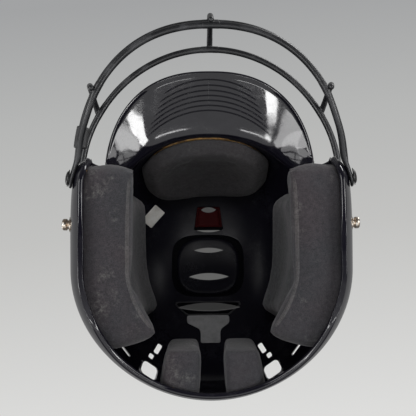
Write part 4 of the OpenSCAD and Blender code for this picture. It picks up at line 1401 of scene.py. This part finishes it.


# The paper's glow grows darker towards one edge, a painted fall-off of light.
along = add_node(tree, "SeparateXYZ", {0: at})
painted_falloff = math_node(tree, "ADD", math_node(tree, "MULTIPLY", along.outputs["Y"], 1 / (2000 * paper_half)), 0.5)
painted_falloff = math_node(tree, "ADD", painted_falloff, math_node(tree, "MULTIPLY", along.outputs["X"], 0.0001))
tone = ramp(tree, painted_falloff, [(0.02, (0.36, 0.365, 0.37)), (0.28, (0.46, 0.465, 0.46)),
                          (0.55, (0.54, 0.54, 0.53)), (0.98, (0.72, 0.72, 0.71))])
for middle, wide, stops in (((2, 130), 0.6, [(106, 0.21), (128, 1.0)]),
                            ((2, 137), 2.4, [(20, 0.25), (27, 1.0)]),
                            ((2, 0), 1.5, [(14, 0.12), (21, 1.0)])):
    tone = blend_colours(tree, 1.0, tone, shade_spot(middle, wide, stops), "MULTIPLY")
backdrop("paper", paper, add_node(tree, "Emission", {"Color": tone}), paper_half, paper_z, False)

# The world lights the helmet evenly, looks pale to the camera, and is darker where it is
# mirrored, apart from a bright ceiling behind the crown.
world = bpy.data.worlds.new("studio")
world.use_nodes = True
tree = world.node_tree
split = add_node(tree, "SeparateXYZ", {0: add_node(tree, "TexCoord", {}).outputs["Generated"]})
height, forth = [math_node(tree, "ADD", math_node(tree, "MULTIPLY", split.outputs[axis], 0.5), 0.5)
                 for axis in ("Z", "Y")]
ray = add_node(tree, "LightPath", {})
lit = ramp(tree, height, [(0.0, 0.28), (0.4, 0.34), (0.6, 0.42), (1.0, 0.6)])
mirrored_world = ramp(tree, height, [(0.0, 0.03), (0.3, 0.06), (0.45, 0.13), (0.6, 0.18), (1.0, 0.28)])
ceiling = math_node(tree, "MULTIPLY", ramp(tree, height, [(0.2, 1.0), (0.34, 0.0)]),
                    ramp(tree, forth, [(0.53, 0.0), (0.58, 1.0)]))
mirrored_world = math_node(tree, "ADD", mirrored_world, ceiling)
seen = ramp(tree, height, [(0.48, 0.42), (0.9, 0.52)])
light_tone = blend_colours(tree, ray.outputs["Is Glossy Ray"], lit, mirrored_world)
fill_sockets(tree, tree.nodes["Background"], {
    "Color": blend_colours(tree, ray.outputs["Is Camera Ray"], light_tone, seen)})
bpy.context.scene.world = world
bpy.context.scene.view_settings.view_transform = "Standard"

# The camera stands below the helmet, a little off its axis, and looks up into it.
camera_roll = 0.4
camera_lean = 0.78
camera_spot = (-0.0114, -0.0047, -0.6)
camera_data = bpy.data.cameras.new("camera")
camera_data.lens = 68.8
camera_data.sensor_width = 36
camera_data.clip_start = 0.01
camera_data.clip_end = 100
camera = bpy.data.objects.new("camera", camera_data)
camera.location = camera_spot
camera.rotation_euler = (math.pi, math.radians(camera_lean), math.radians(camera_roll))
bpy.context.scene.collection.objects.link(camera)
bpy.context.scene.camera = camera
